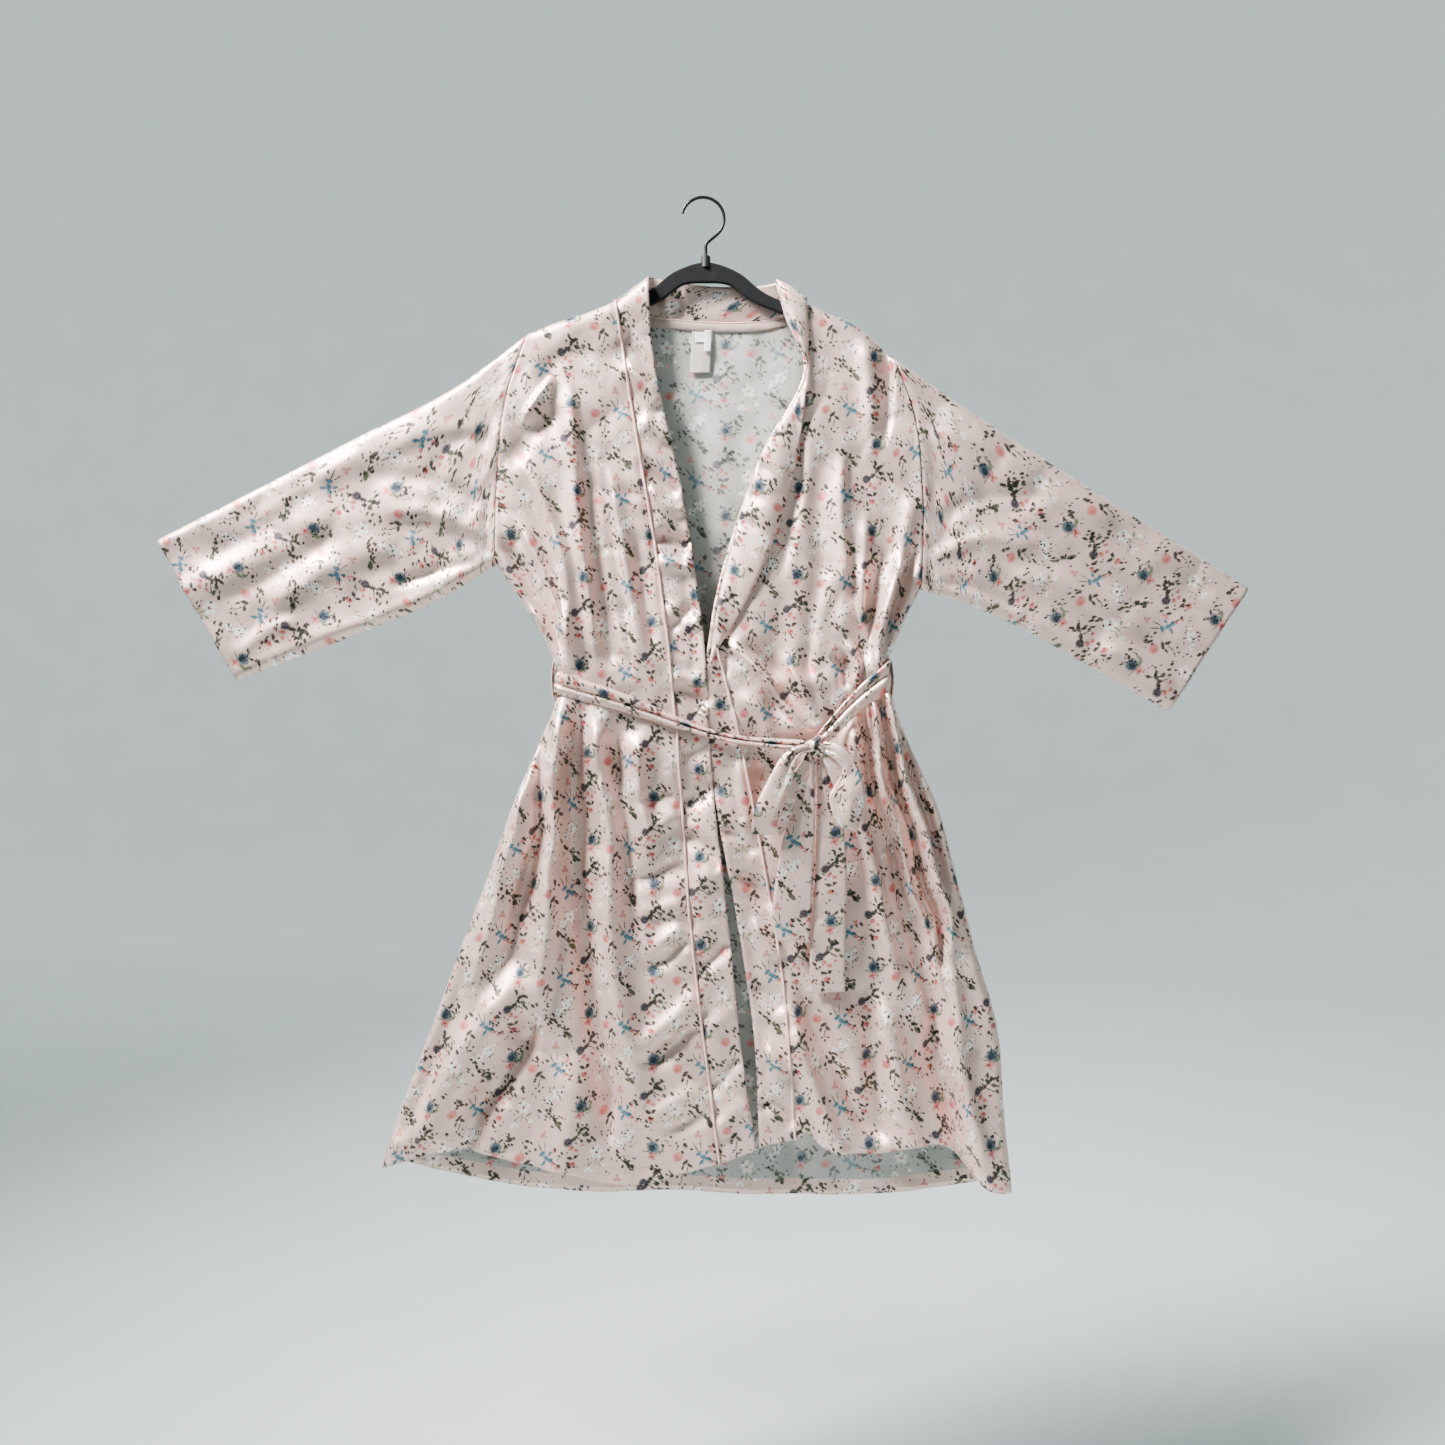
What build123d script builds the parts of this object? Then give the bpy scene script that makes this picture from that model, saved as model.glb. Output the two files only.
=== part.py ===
"""Floral wrap gown on a slim flocked hanger: one STEP file for each piece, in millimetres.

+X is to the viewer's right, +Z is up and the front of the gown faces -Y. The origin is the seat of the
hook, on the underside of its crown. Left and right in the names are the viewer's.
"""

import math
import os

from build123d import *

# Hanger
WIRE_RADIUS = 1.7
CROWN_RADIUS = 20.0  # inside the hook, where it rests on its peg
CROWN_START_DEG = 166
CROWN_END_DEG = -50
STEM_X = 3.0
STEM_BEND_RADIUS = 6.0
STEM_BOTTOM = -66.8
HEAD_RADIUS = 2.9  # the peened head that keeps the stem in its collar
HEAD_HEIGHT = 2.3
COLLAR_RADIUS = 4.8
COLLAR_TOP = -58.0
COLLAR_BOTTOM = -70.0
COLLAR_CHAMFER = 1.2
HEAD_ROOM = 0.3
STEM_PLAY = 0.07  # radial clearance of the stem in its collar
HANGER_THICKNESS = 5.5
HANGER_TOP = -65.0
# Half of the hanger's two edges, from the middle out: distance out and drop below its top
HANGER_UPPER = [(0, 0), (21, 4.7), (38, 13.5), (54, 27), (74, 38), (108, 51), (140, 65), (158, 78)]
HANGER_LOWER = [(0, 21), (24, 23.5), (40, 35), (54, 43), (78, 52.5), (108, 64), (136, 76), (151, 86)]
HANGER_TIP = (162, 87)
HANGER_EDGE_ROUND = 1.6

# Cloth of the body
CLOTH = 2.0  # stands in for thin cloth and its small folds
PIPING_WIDTH = 3.0
WRAP_GAP = 0.6  # between the two fronts, where one passes over the other
SEAM_GAP = 0.5  # between a sleeve and its armhole
# Body of the gown, from the neck to the hem: height, left side, right side, half depth
LEVELS = [
    (-70, -30, 55, 9),
    (-81, -56, 68, 9.5),
    (-92, -72, 82, 10),
    (-106, -92, 106, 11),
    (-116, -118, 125, 12),
    (-125, -146, 149, 12),
    (-139, -179, 168, 12.5),
    (-161, -207, 192, 13),
    (-190, -235, 231, 13.5),
    (-300, -225, 236, 14),
    (-373, -208, 232, 15),
    (-400, -193, 219, 17),
    (-430, -173, 206, 19),
    (-455, -158, 196, 21),
    (-480, -150, 187, 22),
    (-511, -150, 194, 22),
    (-552, -166, 209, 22),
    (-613, -192, 237, 22.5),
    (-684, -217, 257, 23),
    (-766, -248, 278, 24),
    (-848, -278, 301, 25),
    (-929, -309, 307, 26),
    (-1022, -337, 316, 28),
]
WAIST_LEVELS = [level for level in LEVELS if -620 < level[0] < -440]
SHOULDER_FLOOR = -200  # above this the shell slopes, so it is thinned downwards as well as inwards
BOTTOM_OVERRUN = 12

ARMHOLE_LEFT = ((-176, -137), (-210, -373))  # shoulder end and underarm end of the seam
ARMHOLE_RIGHT = ((191, -161), (221, -399))
ARMHOLE_RISE = 90  # how far past the shoulder the armhole cut runs

# Lines drawn on the front, from the neck down
PIPING_LEFT = [(-89, -96), (-85, -130), (-65, -256), (-46, -371), (-29, -514), (-11, -749), (22, -1040)]
EDGE_LEFT = [(-56, -74), (-52, -146), (-21, -300), (3, -474), (6, -540), (32, -775), (42, -918), (60, -1040)]
EDGE_RIGHT_UPPER = [(74, -84), (87, -133), (100, -160), (57, -267), (11, -418), (6, -540)]
EDGE_RIGHT_LOWER = [(30, -717), (48, -853), (58, -1040)]
COLLAR_FOLD = [(106, -98), (107, -154), (91, -284), (50, -401), (14, -458)]
PIPING_RIGHT = [(14, -458), (35, -539), (58, -658), (76, -759), (87, -866), (94, -1040)]
FRONT_HEM_LEFT = [(-350, -972), (-264, -974), (-108, -1004), (-4, -990), (54, -969)]
FRONT_HEM_RIGHT = [(102, -960), (146, -974), (250, -973), (282, -1007), (330, -1014)]
BACK_HEM = [(-350, -968), (-251, -996), (-95, -1016), (79, -1019), (330, -1014)]

# Back of the neck
NECK_SEAM = [(-62, -118), (20, -124), (104, -124)]
BAND_TOP = [(-62, -82), (20, -85), (104, -104)]
NECK_PIPING = 2.0
BINDING_DROP = 9.0
BINDING_THICKNESS = 0.8
BINDING_GAP = 0.1

# Sleeves: the ends of each section, at the shoulder line and at the underside, and the half depth
SLEEVE_LEFT = [
    (ARMHOLE_LEFT[0], ARMHOLE_LEFT[1], 13),
    ((-245, -188), (-228, -384), 14),
    ((-357, -246), (-267, -408), 15),
    ((-554, -347), (-474, -491), 13),
]
SLEEVE_RIGHT = [
    (ARMHOLE_RIGHT[0], ARMHOLE_RIGHT[1], 13),
    ((262, -210), (243, -405), 14),
    ((397, -297), (310, -431), 15),
    ((555, -396), (473, -522), 13),
]

# Belt
BELT_STANDOFF = 0.4
BELT_THICKNESS = 2.5
BELT_LEFT_UPPER = [(-160, -480), (-94, -499), (26, -545), (114, -552)]
BELT_LEFT_LOWER = [(-160, -502), (-94, -520), (43, -557), (114, -562)]
BELT_RIGHT_UPPER = [(114, -546), (143, -512), (164, -491), (200, -466)]
BELT_RIGHT_LOWER = [(114, -562), (130, -550), (154, -521), (200, -497)]
BELT_BACK_TOP = -476.0
BELT_BACK_BOTTOM = -505.0
LOOP_WIDTH = 8.0
LOOP_THICKNESS = 1.1
LOOP_CLEARANCE = 0.4
LOOP_TOP = -466.0
LOOP_BOTTOM = -514.0
LOOP_END = 4.0
LOOP_FRONT_Y = -6.0

# Bow, which turns about its knot
KNOT = (114, -34, -558)
KNOT_HALF_SIZE = (13, 8.8, 11)
BOW_START = 14.0  # from the middle of the knot
RIBBON = 2.0
LOOP_Y = (-41.5, -31.5)
LEFT_TAIL_Y = -30.8
RIGHT_TAIL_Y = -28.0
TAIL_NECK_WIDTH = 9.0
TAIL_SPREAD = 46.0  # distance over which a tail opens to its full width
# Each piece: length from the middle of the knot, width, angle from straight down, positive to the right
BOW_LOOP_LEFT = (99, 25, -27.5)
BOW_LOOP_RIGHT = (92, 31, 24)
TAIL_LEFT = (196, 35, -7.3)
TAIL_RIGHT = (251, 35, 2.5)

# Labels: left side, width, length, back face
LABEL_THICKNESS = 0.4
LABEL_TOP = -132.0
LABELS = {
    "brand_label": (-8.0, 18.0, 12.0, 7.7),
    "size_label": (2.0, 7.0, 22.0, 8.2),
    "care_label": (-11.0, 21.0, 44.0, 8.8),
}

REACH = 80.0  # half length of every prism that cuts through the gown from front to back


def on_plane(points):
    """Points given as (x, z), moved into space at y = 0."""
    return [Vector(x, 0, z) for x, z in points]


def curve(points):
    return Spline(*on_plane(points))


def region(left_lines, right_lines):
    """A prism through the gown, between two sides that are each one or more curves from top to bottom."""
    left_edges = [curve(points) for points in left_lines]
    right_edges = [curve(points) for points in right_lines]
    top = Line(left_edges[0] @ 0, right_edges[0] @ 0)
    bottom = Line(left_edges[-1] @ 1, right_edges[-1] @ 1)
    face = make_face([*left_edges, *right_edges, top, bottom])
    return extrude(face, amount=REACH, dir=(0, 1, 0), both=True)


def outline(points):
    """A prism through the gown with a straight-sided outline."""
    face = make_face(Polyline(*on_plane(points), close=True))
    return extrude(face, amount=REACH, dir=(0, 1, 0), both=True)


def shifted(points, dx):
    return [(x + dx, z) for x, z in points]


def tube(levels, grow, drop=0.0):
    """The solid inside the body of the gown, with its skin moved out by grow."""
    sections = []
    for z, left, right, depth in levels:
        lower = drop if z > SHOULDER_FLOOR else 0
        width = right - left + 2 * grow
        place = Plane(origin=((left + right) / 2, 0, z - lower))
        sections.append(place * SlotOverall(width, 2 * (depth + grow)))
    return loft(sections, ruled=True)


def ring(levels, inner, outer):
    """A skin round the body, from inner to outer millimetres off it."""
    return tube(levels, outer) - tube(levels, inner)


def box_between(low, high):
    size = [b - a for a, b in zip(low, high)]
    centre = [(a + b) / 2 for a, b in zip(low, high)]
    return Pos(*centre) * Box(*size)


def hook():
    radius = CROWN_RADIUS + WIRE_RADIUS
    face_on = Plane(origin=(0, 0, -CROWN_RADIUS), x_dir=(1, 0, 0), z_dir=(0, -1, 0))
    sweep_angle = CROWN_END_DEG - CROWN_START_DEG
    crown = face_on * CenterArc((0, 0), radius, CROWN_START_DEG, sweep_angle)
    end = crown @ 1
    tangent = crown % 1
    run = (STEM_X - end.X) / tangent.X
    corner = end + tangent * run
    neck = FilletPolyline(end, corner, (STEM_X, 0, STEM_BOTTOM), radius=STEM_BEND_RADIUS)
    path = Wire([*crown.edges(), *neck.edges()])
    section = Plane(origin=path @ 0, z_dir=path % 0) * Circle(WIRE_RADIUS)
    wire = sweep(section, path=path)
    head_place = Pos(STEM_X, 0, STEM_BOTTOM + HEAD_HEIGHT / 2)
    return wire + head_place * Cylinder(HEAD_RADIUS, HEAD_HEIGHT)


def collar_envelope():
    height = COLLAR_TOP - COLLAR_BOTTOM
    return Pos(STEM_X, 0, (COLLAR_TOP + COLLAR_BOTTOM) / 2) * Cylinder(COLLAR_RADIUS, height)


def hook_collar():
    body = collar_envelope()
    body = chamfer(body.edges().group_by(Axis.Z)[-1], COLLAR_CHAMFER)
    bore_height = COLLAR_TOP - STEM_BOTTOM
    bore = Pos(STEM_X, 0, COLLAR_TOP - bore_height / 2) * Cylinder(WIRE_RADIUS + STEM_PLAY, bore_height)
    room_height = HEAD_HEIGHT + 2 * HEAD_ROOM
    room_place = Pos(STEM_X, 0, STEM_BOTTOM + HEAD_HEIGHT / 2)
    room = room_place * Cylinder(HEAD_RADIUS + HEAD_ROOM, room_height)
    return body - bore - room


def mirrored(half):
    """A line given from the middle out, as (distance out, drop), on both sides of the middle."""
    right = [(out, -drop) for out, drop in half]
    return [(-x, z) for x, z in reversed(right[1:])] + right


def hanger_body():
    over = curve(mirrored(HANGER_UPPER))
    under = curve(mirrored(HANGER_LOWER))
    tip_x, tip_drop = HANGER_TIP
    right_end = ThreePointArc(over @ 1, Vector(tip_x, 0, -tip_drop), under @ 1)
    left_end = ThreePointArc(over @ 0, Vector(-tip_x, 0, -tip_drop), under @ 0)
    flat = make_face([over, right_end, under, left_end])
    bar = extrude(flat, amount=HANGER_THICKNESS / 2, dir=(0, 1, 0), both=True)
    bar = fillet(bar.edges().filter_by(Axis.Y, reverse=True), HANGER_EDGE_ROUND)
    return Pos(STEM_X, 0, HANGER_TOP) * bar - collar_envelope()


def body_shell():
    """The whole body of the gown as one thin tube, open at the hem and at both armholes."""
    bottom = LEVELS[-1]
    overrun = (bottom[0] - BOTTOM_OVERRUN, *bottom[1:])
    shell = tube(LEVELS, 0) - tube([*LEVELS, overrun], -CLOTH, drop=CLOTH)
    for shoulder, underarm in (ARMHOLE_LEFT, ARMHOLE_RIGHT):
        side = math.copysign(1, shoulder[0])
        slope = (shoulder[0] - underarm[0]) / (shoulder[1] - underarm[1])
        top = (shoulder[0] + slope * ARMHOLE_RISE, shoulder[1] + ARMHOLE_RISE)
        away = side * 400
        shell -= outline([top, underarm, (away, underarm[1]), (away, top[1])])
    return shell


def below(hem):
    """Everything under a hem line."""
    edge = curve(hem)
    low = [Vector(hem[-1][0], 0, -1100), Vector(hem[0][0], 0, -1100)]
    sides = Polyline(edge @ 1, *low, edge @ 0)
    return extrude(make_face([edge, *sides.edges()]), amount=REACH, dir=(0, 1, 0), both=True)


def halves(solid):
    front = solid & box_between((-450, -REACH, -1100), (450, 0, 0))
    back = solid & box_between((-450, 0, -1100), (450, REACH, 0))
    return front, back


def front_pieces(front):
    """The two fronts, their bands and the piping between, cut from the front of the shell."""
    cloth = front - below(FRONT_HEM_LEFT + FRONT_HEM_RIGHT)
    half = PIPING_WIDTH / 2
    far_left = [(-400, -60), (-400, -1040)]
    far_right = [(400, -60), (400, -1040)]
    wrapped = region([far_left], [shifted(EDGE_LEFT, WRAP_GAP)])
    piping_right = region([shifted(PIPING_RIGHT, -half)], [shifted(PIPING_RIGHT, half)])
    under_fold = region([COLLAR_FOLD, PIPING_RIGHT], [far_right])
    band_right = region([EDGE_RIGHT_UPPER + EDGE_RIGHT_LOWER], [COLLAR_FOLD, PIPING_RIGHT]) - wrapped
    return {
        "front_panel_left": cloth & region([far_left], [shifted(PIPING_LEFT, -half)]),
        "piping_left": cloth & region([shifted(PIPING_LEFT, -half)], [shifted(PIPING_LEFT, half)]),
        "band_left": cloth & region([shifted(PIPING_LEFT, half)], [EDGE_LEFT]),
        "band_right": cloth & (band_right - piping_right),
        "piping_right": cloth & piping_right - wrapped,
        "front_panel_right": cloth & (under_fold - piping_right - wrapped),
    }


def between(upper, lower):
    """A prism through the gown between two curves that run from left to right."""
    above = curve(upper)
    under = curve(lower)
    sides = [Line(above @ 0, under @ 0), Line(above @ 1, under @ 1)]
    return extrude(make_face([above, under, *sides]), amount=REACH, dir=(0, 1, 0), both=True)


def lowered(points, dz):
    return [(x, z - dz) for x, z in points]


def back_pieces(back):
    """The back, the band that stands at the back of the neck, and the piping and binding of its seam."""
    neck = between([(-62, -60), (104, -60)], NECK_SEAM)
    piping = between(lowered(NECK_SEAM, -NECK_PIPING), NECK_SEAM)
    band = between(BAND_TOP, lowered(NECK_SEAM, -NECK_PIPING))
    inside = -CLOTH - BINDING_GAP
    neck_levels = [level for level in LEVELS if level[0] > SHOULDER_FLOOR]
    binding_skin = halves(ring(neck_levels, inside - BINDING_THICKNESS, inside))[1]
    binding = between(NECK_SEAM, lowered(NECK_SEAM, BINDING_DROP))
    trimmed = box_between((-55, 0, -160), (96, REACH, -100))
    return {
        "back_panel": back - below(BACK_HEM) - neck,
        "neck_piping": back & piping,
        "neck_band": back & band,
        "neck_binding": binding_skin & binding & trimmed,
    }


def sleeve(sections, side):
    """A tapering tube, open at the armhole and at the cuff."""

    def section(index, grow):
        (top_x, top_z), (low_x, low_z), depth = sections[index]
        up = Vector(top_x - low_x, 0, top_z - low_z)
        middle = Vector((top_x + low_x) / 2, 0, (top_z + low_z) / 2)
        if index == 0:
            middle += Vector(side * SEAM_GAP, 0, 0)
        along = up.normalized()
        place = Plane(origin=middle, x_dir=along, z_dir=(side * along.Z, 0, -side * along.X))
        return place * SlotOverall(up.length + 2 * grow, 2 * (depth + grow))

    count = len(sections)
    outside = loft([section(i, 0) for i in range(count)], ruled=True)
    hollow = [section(i, -CLOTH) for i in range(count)]
    inside = loft(hollow, ruled=True)
    for end, direction in ((hollow[0], -1), (hollow[-1], 1)):
        inside += extrude(end, amount=direction * BOTTOM_OVERRUN)
    return outside - inside


def belt_pieces():
    """The belt in front of and behind the waist, following the body."""
    skin = ring(WAIST_LEVELS, BELT_STANDOFF, BELT_STANDOFF + BELT_THICKNESS)
    front, back = halves(skin)
    return {
        "belt_front_left": front & between(BELT_LEFT_UPPER, BELT_LEFT_LOWER),
        "belt_front_right": front & between(BELT_RIGHT_UPPER, BELT_RIGHT_LOWER),
        "belt_back": back & box_between((-400, 0, BELT_BACK_BOTTOM), (400, REACH, BELT_BACK_TOP)),
    }


def belt_loop(side):
    """A narrow strap sewn to the side of the body above and below the belt."""
    inner = BELT_STANDOFF + BELT_THICKNESS + LOOP_CLEARANCE
    x_range = (-220, -100) if side < 0 else (130, 260)
    y_range = (LOOP_FRONT_Y - LOOP_WIDTH, LOOP_FRONT_Y)
    low = (x_range[0], y_range[0], LOOP_BOTTOM)
    high = (x_range[1], y_range[1], LOOP_TOP)
    strap = ring(WAIST_LEVELS, BINDING_GAP, inner + LOOP_THICKNESS) & box_between(low, high)
    window_low = (x_range[0], y_range[0], LOOP_BOTTOM + LOOP_END)
    window_high = (x_range[1], y_range[1], LOOP_TOP - LOOP_END)
    window = ring(WAIST_LEVELS, -CLOTH, inner) & box_between(window_low, window_high)
    return strap - window


def belt_knot():
    unit = Sphere(1)
    return Pos(*KNOT) * scale(unit, by=KNOT_HALF_SIZE)


def hung_from_knot(solid, angle):
    """Turns a piece that hangs straight down from the origin, and moves it to the knot."""
    return Pos(KNOT[0], 0, KNOT[2]) * Rot(0, -angle, 0) * solid


def tongue(length, width):
    """The outline of a ribbon that is gathered at the knot and opens to its full width."""
    half = width / 2
    neck = TAIL_NECK_WIDTH / 2
    side = [(half, -BOW_START - TAIL_SPREAD), (half, -length)]
    opening = Spline(
        Vector(neck, 0, -BOW_START),
        Vector(half, 0, -BOW_START - TAIL_SPREAD),
        tangents=[(0.25, 0, -1), (0, 0, -1)],
    )
    right = [opening, Line(*on_plane(side))]
    left = [edge.mirror(Plane.YZ) for edge in right]
    top = Line(left[0] @ 0, right[0] @ 0)
    bottom = Line(left[1] @ 1, right[1] @ 1)
    return make_face([*right, *left, top, bottom])


def bow_loop(length, width, angle):
    """A ribbon that goes down from the knot, turns and comes back up behind itself."""
    front_y, back_y = LOOP_Y
    depth = back_y - front_y
    middle_y = (front_y + back_y) / 2
    end_radius = depth / 2
    middle_z = -(BOW_START + length) / 2
    side_on = Plane(origin=(0, middle_y, middle_z), x_dir=(0, 0, 1), z_dir=(1, 0, 0))
    span = length - BOW_START
    profile = SlotOverall(span, depth) - SlotOverall(span - 2 * RIBBON, 2 * (end_radius - RIBBON))
    ribbon = extrude(side_on * profile, amount=width, both=True)
    shape = extrude(tongue(length + 1, width), amount=REACH, dir=(0, 1, 0), both=True)
    return hung_from_knot(ribbon & shape, angle)


def bow_tail(length, width, angle, front_y):
    flat = extrude(tongue(length, width), amount=RIBBON, dir=(0, 1, 0))
    return hung_from_knot(Pos(0, front_y, 0) * flat, angle)


def label(left, width, length, back_y):
    low = (left, back_y - LABEL_THICKNESS, LABEL_TOP - length)
    return box_between(low, (left + width, back_y, LABEL_TOP))


def build():
    front, back = halves(body_shell())
    parts = {
        "hook": hook(),
        "hook_collar": hook_collar(),
        "hanger_body": hanger_body(),
        **front_pieces(front),
        **back_pieces(back),
        "sleeve_left": sleeve(SLEEVE_LEFT, -1),
        "sleeve_right": sleeve(SLEEVE_RIGHT, 1),
        **belt_pieces(),
        "belt_loop_left": belt_loop(-1),
        "belt_loop_right": belt_loop(1),
        "belt_knot": belt_knot(),
        "bow_loop_left": bow_loop(*BOW_LOOP_LEFT),
        "bow_loop_right": bow_loop(*BOW_LOOP_RIGHT),
        "bow_tail_left": bow_tail(*TAIL_LEFT, LEFT_TAIL_Y),
        "bow_tail_right": bow_tail(*TAIL_RIGHT, RIGHT_TAIL_Y),
    }
    for name, sizes in LABELS.items():
        parts[name] = label(*sizes)
    return parts


os.makedirs("parts", exist_ok=True)
for name, part in build().items():
    export_step(part, f"parts/{name}.step")
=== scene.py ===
"""Floral satin wrap gown on its flocked hanger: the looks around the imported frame.

Sizes are in millimetres and become metres when a mesh is made. +X is to the viewer's right, +Z is up, and the
front of the gown faces -Y. The lines and levels are those of part.py.
"""

import math

import bpy
import numpy as np
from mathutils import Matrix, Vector


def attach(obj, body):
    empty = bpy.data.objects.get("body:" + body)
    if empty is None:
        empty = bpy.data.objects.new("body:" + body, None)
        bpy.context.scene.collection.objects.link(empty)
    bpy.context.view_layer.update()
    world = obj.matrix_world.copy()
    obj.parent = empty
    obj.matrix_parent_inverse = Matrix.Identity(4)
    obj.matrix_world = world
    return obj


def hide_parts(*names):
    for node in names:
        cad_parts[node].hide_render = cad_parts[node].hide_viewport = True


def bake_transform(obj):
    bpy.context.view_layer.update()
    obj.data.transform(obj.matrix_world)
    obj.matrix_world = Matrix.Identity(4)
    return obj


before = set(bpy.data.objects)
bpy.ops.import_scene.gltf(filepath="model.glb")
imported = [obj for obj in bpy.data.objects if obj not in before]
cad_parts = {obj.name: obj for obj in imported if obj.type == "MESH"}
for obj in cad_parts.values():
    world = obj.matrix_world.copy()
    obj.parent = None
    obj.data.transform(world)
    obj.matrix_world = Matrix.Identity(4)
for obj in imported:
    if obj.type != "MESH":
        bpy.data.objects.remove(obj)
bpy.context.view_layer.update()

MM = 0.001

# ---------------------------------------------------------------- sizes

# Body of the gown: height, left side, right side, half depth
LEVELS = np.array([
    (-70, -30, 55, 9), (-81, -56, 68, 9.5), (-92, -72, 82, 10), (-106, -92, 106, 11), (-116, -118, 125, 12),
    (-125, -146, 149, 12), (-139, -179, 168, 12.5), (-161, -207, 192, 13), (-190, -235, 231, 13.5),
    (-300, -225, 236, 14), (-373, -208, 232, 15), (-400, -193, 219, 17), (-430, -173, 206, 19),
    (-455, -158, 196, 21), (-480, -150, 187, 22), (-511, -150, 194, 22), (-552, -166, 209, 22),
    (-613, -192, 237, 22.5), (-684, -217, 257, 23), (-766, -248, 278, 24), (-848, -278, 301, 25),
    (-929, -309, 307, 26), (-1022, -337, 316, 28),
], float)
ARMHOLE_LEFT = [(-176, -137), (-197, -200), (-208, -290), (-210, -373)]
ARMHOLE_RIGHT = [(191, -161), (212, -215), (222, -300), (221, -399)]
SHOULDER_LEFT = [(-176, -137), (-146, -125), (-118, -116), (-89, -104)]
SHOULDER_LEFT_TOP = [(-89, -104), (-72, -92), (-55, -79)]
SHOULDER_RIGHT = [(74, -86), (82, -92), (106, -106), (125, -116), (149, -125), (168, -139), (191, -161)]
SIDE_LEFT = [(-210, -373), (-193, -400), (-173, -430), (-158, -455), (-150, -480), (-150, -511), (-166, -552),
             (-192, -613), (-217, -684), (-248, -766), (-278, -848), (-309, -929), (-327, -983)]
SIDE_RIGHT = [(221, -399), (206, -430), (196, -455), (187, -480), (194, -511), (209, -552), (237, -613),
              (257, -684), (278, -766), (301, -848), (307, -929), (315, -1006)]

PIPING_LEFT = [(-89, -104), (-85, -130), (-65, -256), (-46, -371), (-29, -514), (-11, -749), (17, -976)]
EDGE_LEFT = [(-55, -79), (-52, -146), (-21, -300), (3, -474), (6, -540), (30, -775), (41, -880), (54, -962)]
EDGE_RIGHT = [(74, -86), (87, -133), (101, -160), (57, -267), (11, -418), (2, -500), (14, -620), (32, -717),
              (52, -853), (57, -960)]
COLLAR_OUTER = [(106, -104), (107, -154), (91, -284), (50, -401), (8, -473)]
COLLAR_INNER = [(74, -84), (87, -133), (104, -161), (57, -267), (18, -400), (7, -475)]
PIPING_RIGHT = [(14, -458), (35, -539), (58, -658), (76, -759), (87, -866), (93, -952)]
HEM_LEFT = [(-327, -983), (-270, -966), (-150, -982), (-80, -998), (17, -976)]
HEM_LEFT_BAND = [(17, -976), (54, -962)]
HEM_RIGHT_BAND = [(57, -960), (93, -952)]
HEM_RIGHT = [(93, -952), (104, -945), (118, -958), (167, -966), (252, -964), (265, -980), (286, -1003),
             (315, -1006)]
HEM_BACK = [(-327, -983), (-251, -1003), (-110, -1021), (45, -1013), (150, -1024), (315, -1006)]
NECK_SEAM = [(-89, -104), (-62, -116), (-20, -122), (20, -124), (70, -121), (92, -114), (106, -104)]
BAND_TOP = [(-55, -79), (-30, -82), (10, -87), (50, -87), (74, -86)]

SLEEVE_LEFT = [(ARMHOLE_LEFT[0], ARMHOLE_LEFT[-1], 13), ((-245, -188), (-228, -384), 14),
               ((-357, -246), (-267, -408), 15), ((-554, -347), (-474, -491), 13)]
SLEEVE_RIGHT = [(ARMHOLE_RIGHT[0], ARMHOLE_RIGHT[-1], 13), ((262, -210), (243, -405), 14),
                ((397, -297), (310, -431), 15), ((555, -396), (473, -522), 13)]

BELT_LEFT_UPPER = [(-153, -480), (-94, -499), (26, -545), (114, -552)]
BELT_LEFT_LOWER = [(-153, -504), (-94, -520), (43, -557), (114, -563)]
BELT_RIGHT_UPPER = [(114, -546), (143, -512), (164, -491), (190, -470)]
BELT_RIGHT_LOWER = [(114, -562), (130, -550), (154, -527), (193, -500)]
BELT_LINE = [(-153, -492), (-94, -510), (35, -551), (114, -557), (150, -520), (190, -487)]
KNOT = (114, -34, -558)

CLOTH = 0.6  # thickness of the satin
SPACING = 3.4  # between the mesh points of the fronts
BACK_SPACING = 5.5
EDGE_ROUND = 13.0  # over this distance from a side the cloth turns to the back
NOISE_CELLS = 128  # before the noise repeats


# ---------------------------------------------------------------- curves and noise

def eased(t):
    """Rises smoothly from 0 to 1 as t does."""
    t = np.clip(t, 0, 1)
    return t * t * (3 - 2 * t)


def bell(value, middle, width, power=2):
    """A hump of height 1 at its middle; a higher power gives it a flatter top."""
    return np.exp(-(((value - middle) / width) ** power))


def rounded(distance):
    """The round of a turned edge: 0 on the edge itself and 1 from EDGE_ROUND inwards."""
    t = np.clip(distance / EDGE_ROUND, 0, 1)
    return np.sqrt(np.clip(1 - (1 - t) ** 2.4, 0, 1))


def grid(columns, rows):
    """Shares of the way across, as one row, and of the way down, as one column."""
    return np.linspace(0, 1, columns)[None, :], np.linspace(0, 1, rows)[:, None]


def between(first, second, share):
    """Points a share of the way from the first ones to the second ones."""
    return first * (1 - share[..., None]) + second * share[..., None]


def places_along(points):
    """The distance from the start of a line to each of its points."""
    return np.r_[0, np.cumsum(np.linalg.norm(np.diff(points, axis=0), axis=1))]


def hermite(places, values, at):
    """A smooth curve through values at the given places."""
    slopes = np.gradient(values, places, axis=0)
    i = np.clip(np.searchsorted(places, at) - 1, 0, len(places) - 2)
    step = (places[i + 1] - places[i])[:, None]
    u = ((at - places[i]) / step[:, 0])[:, None]
    start = (2 * u**3 - 3 * u**2 + 1) * values[i] + (u**3 - 2 * u**2 + u) * step * slopes[i]
    return start + (3 * u**2 - 2 * u**3) * values[i + 1] + (u**3 - u**2) * step * slopes[i + 1]


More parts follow.
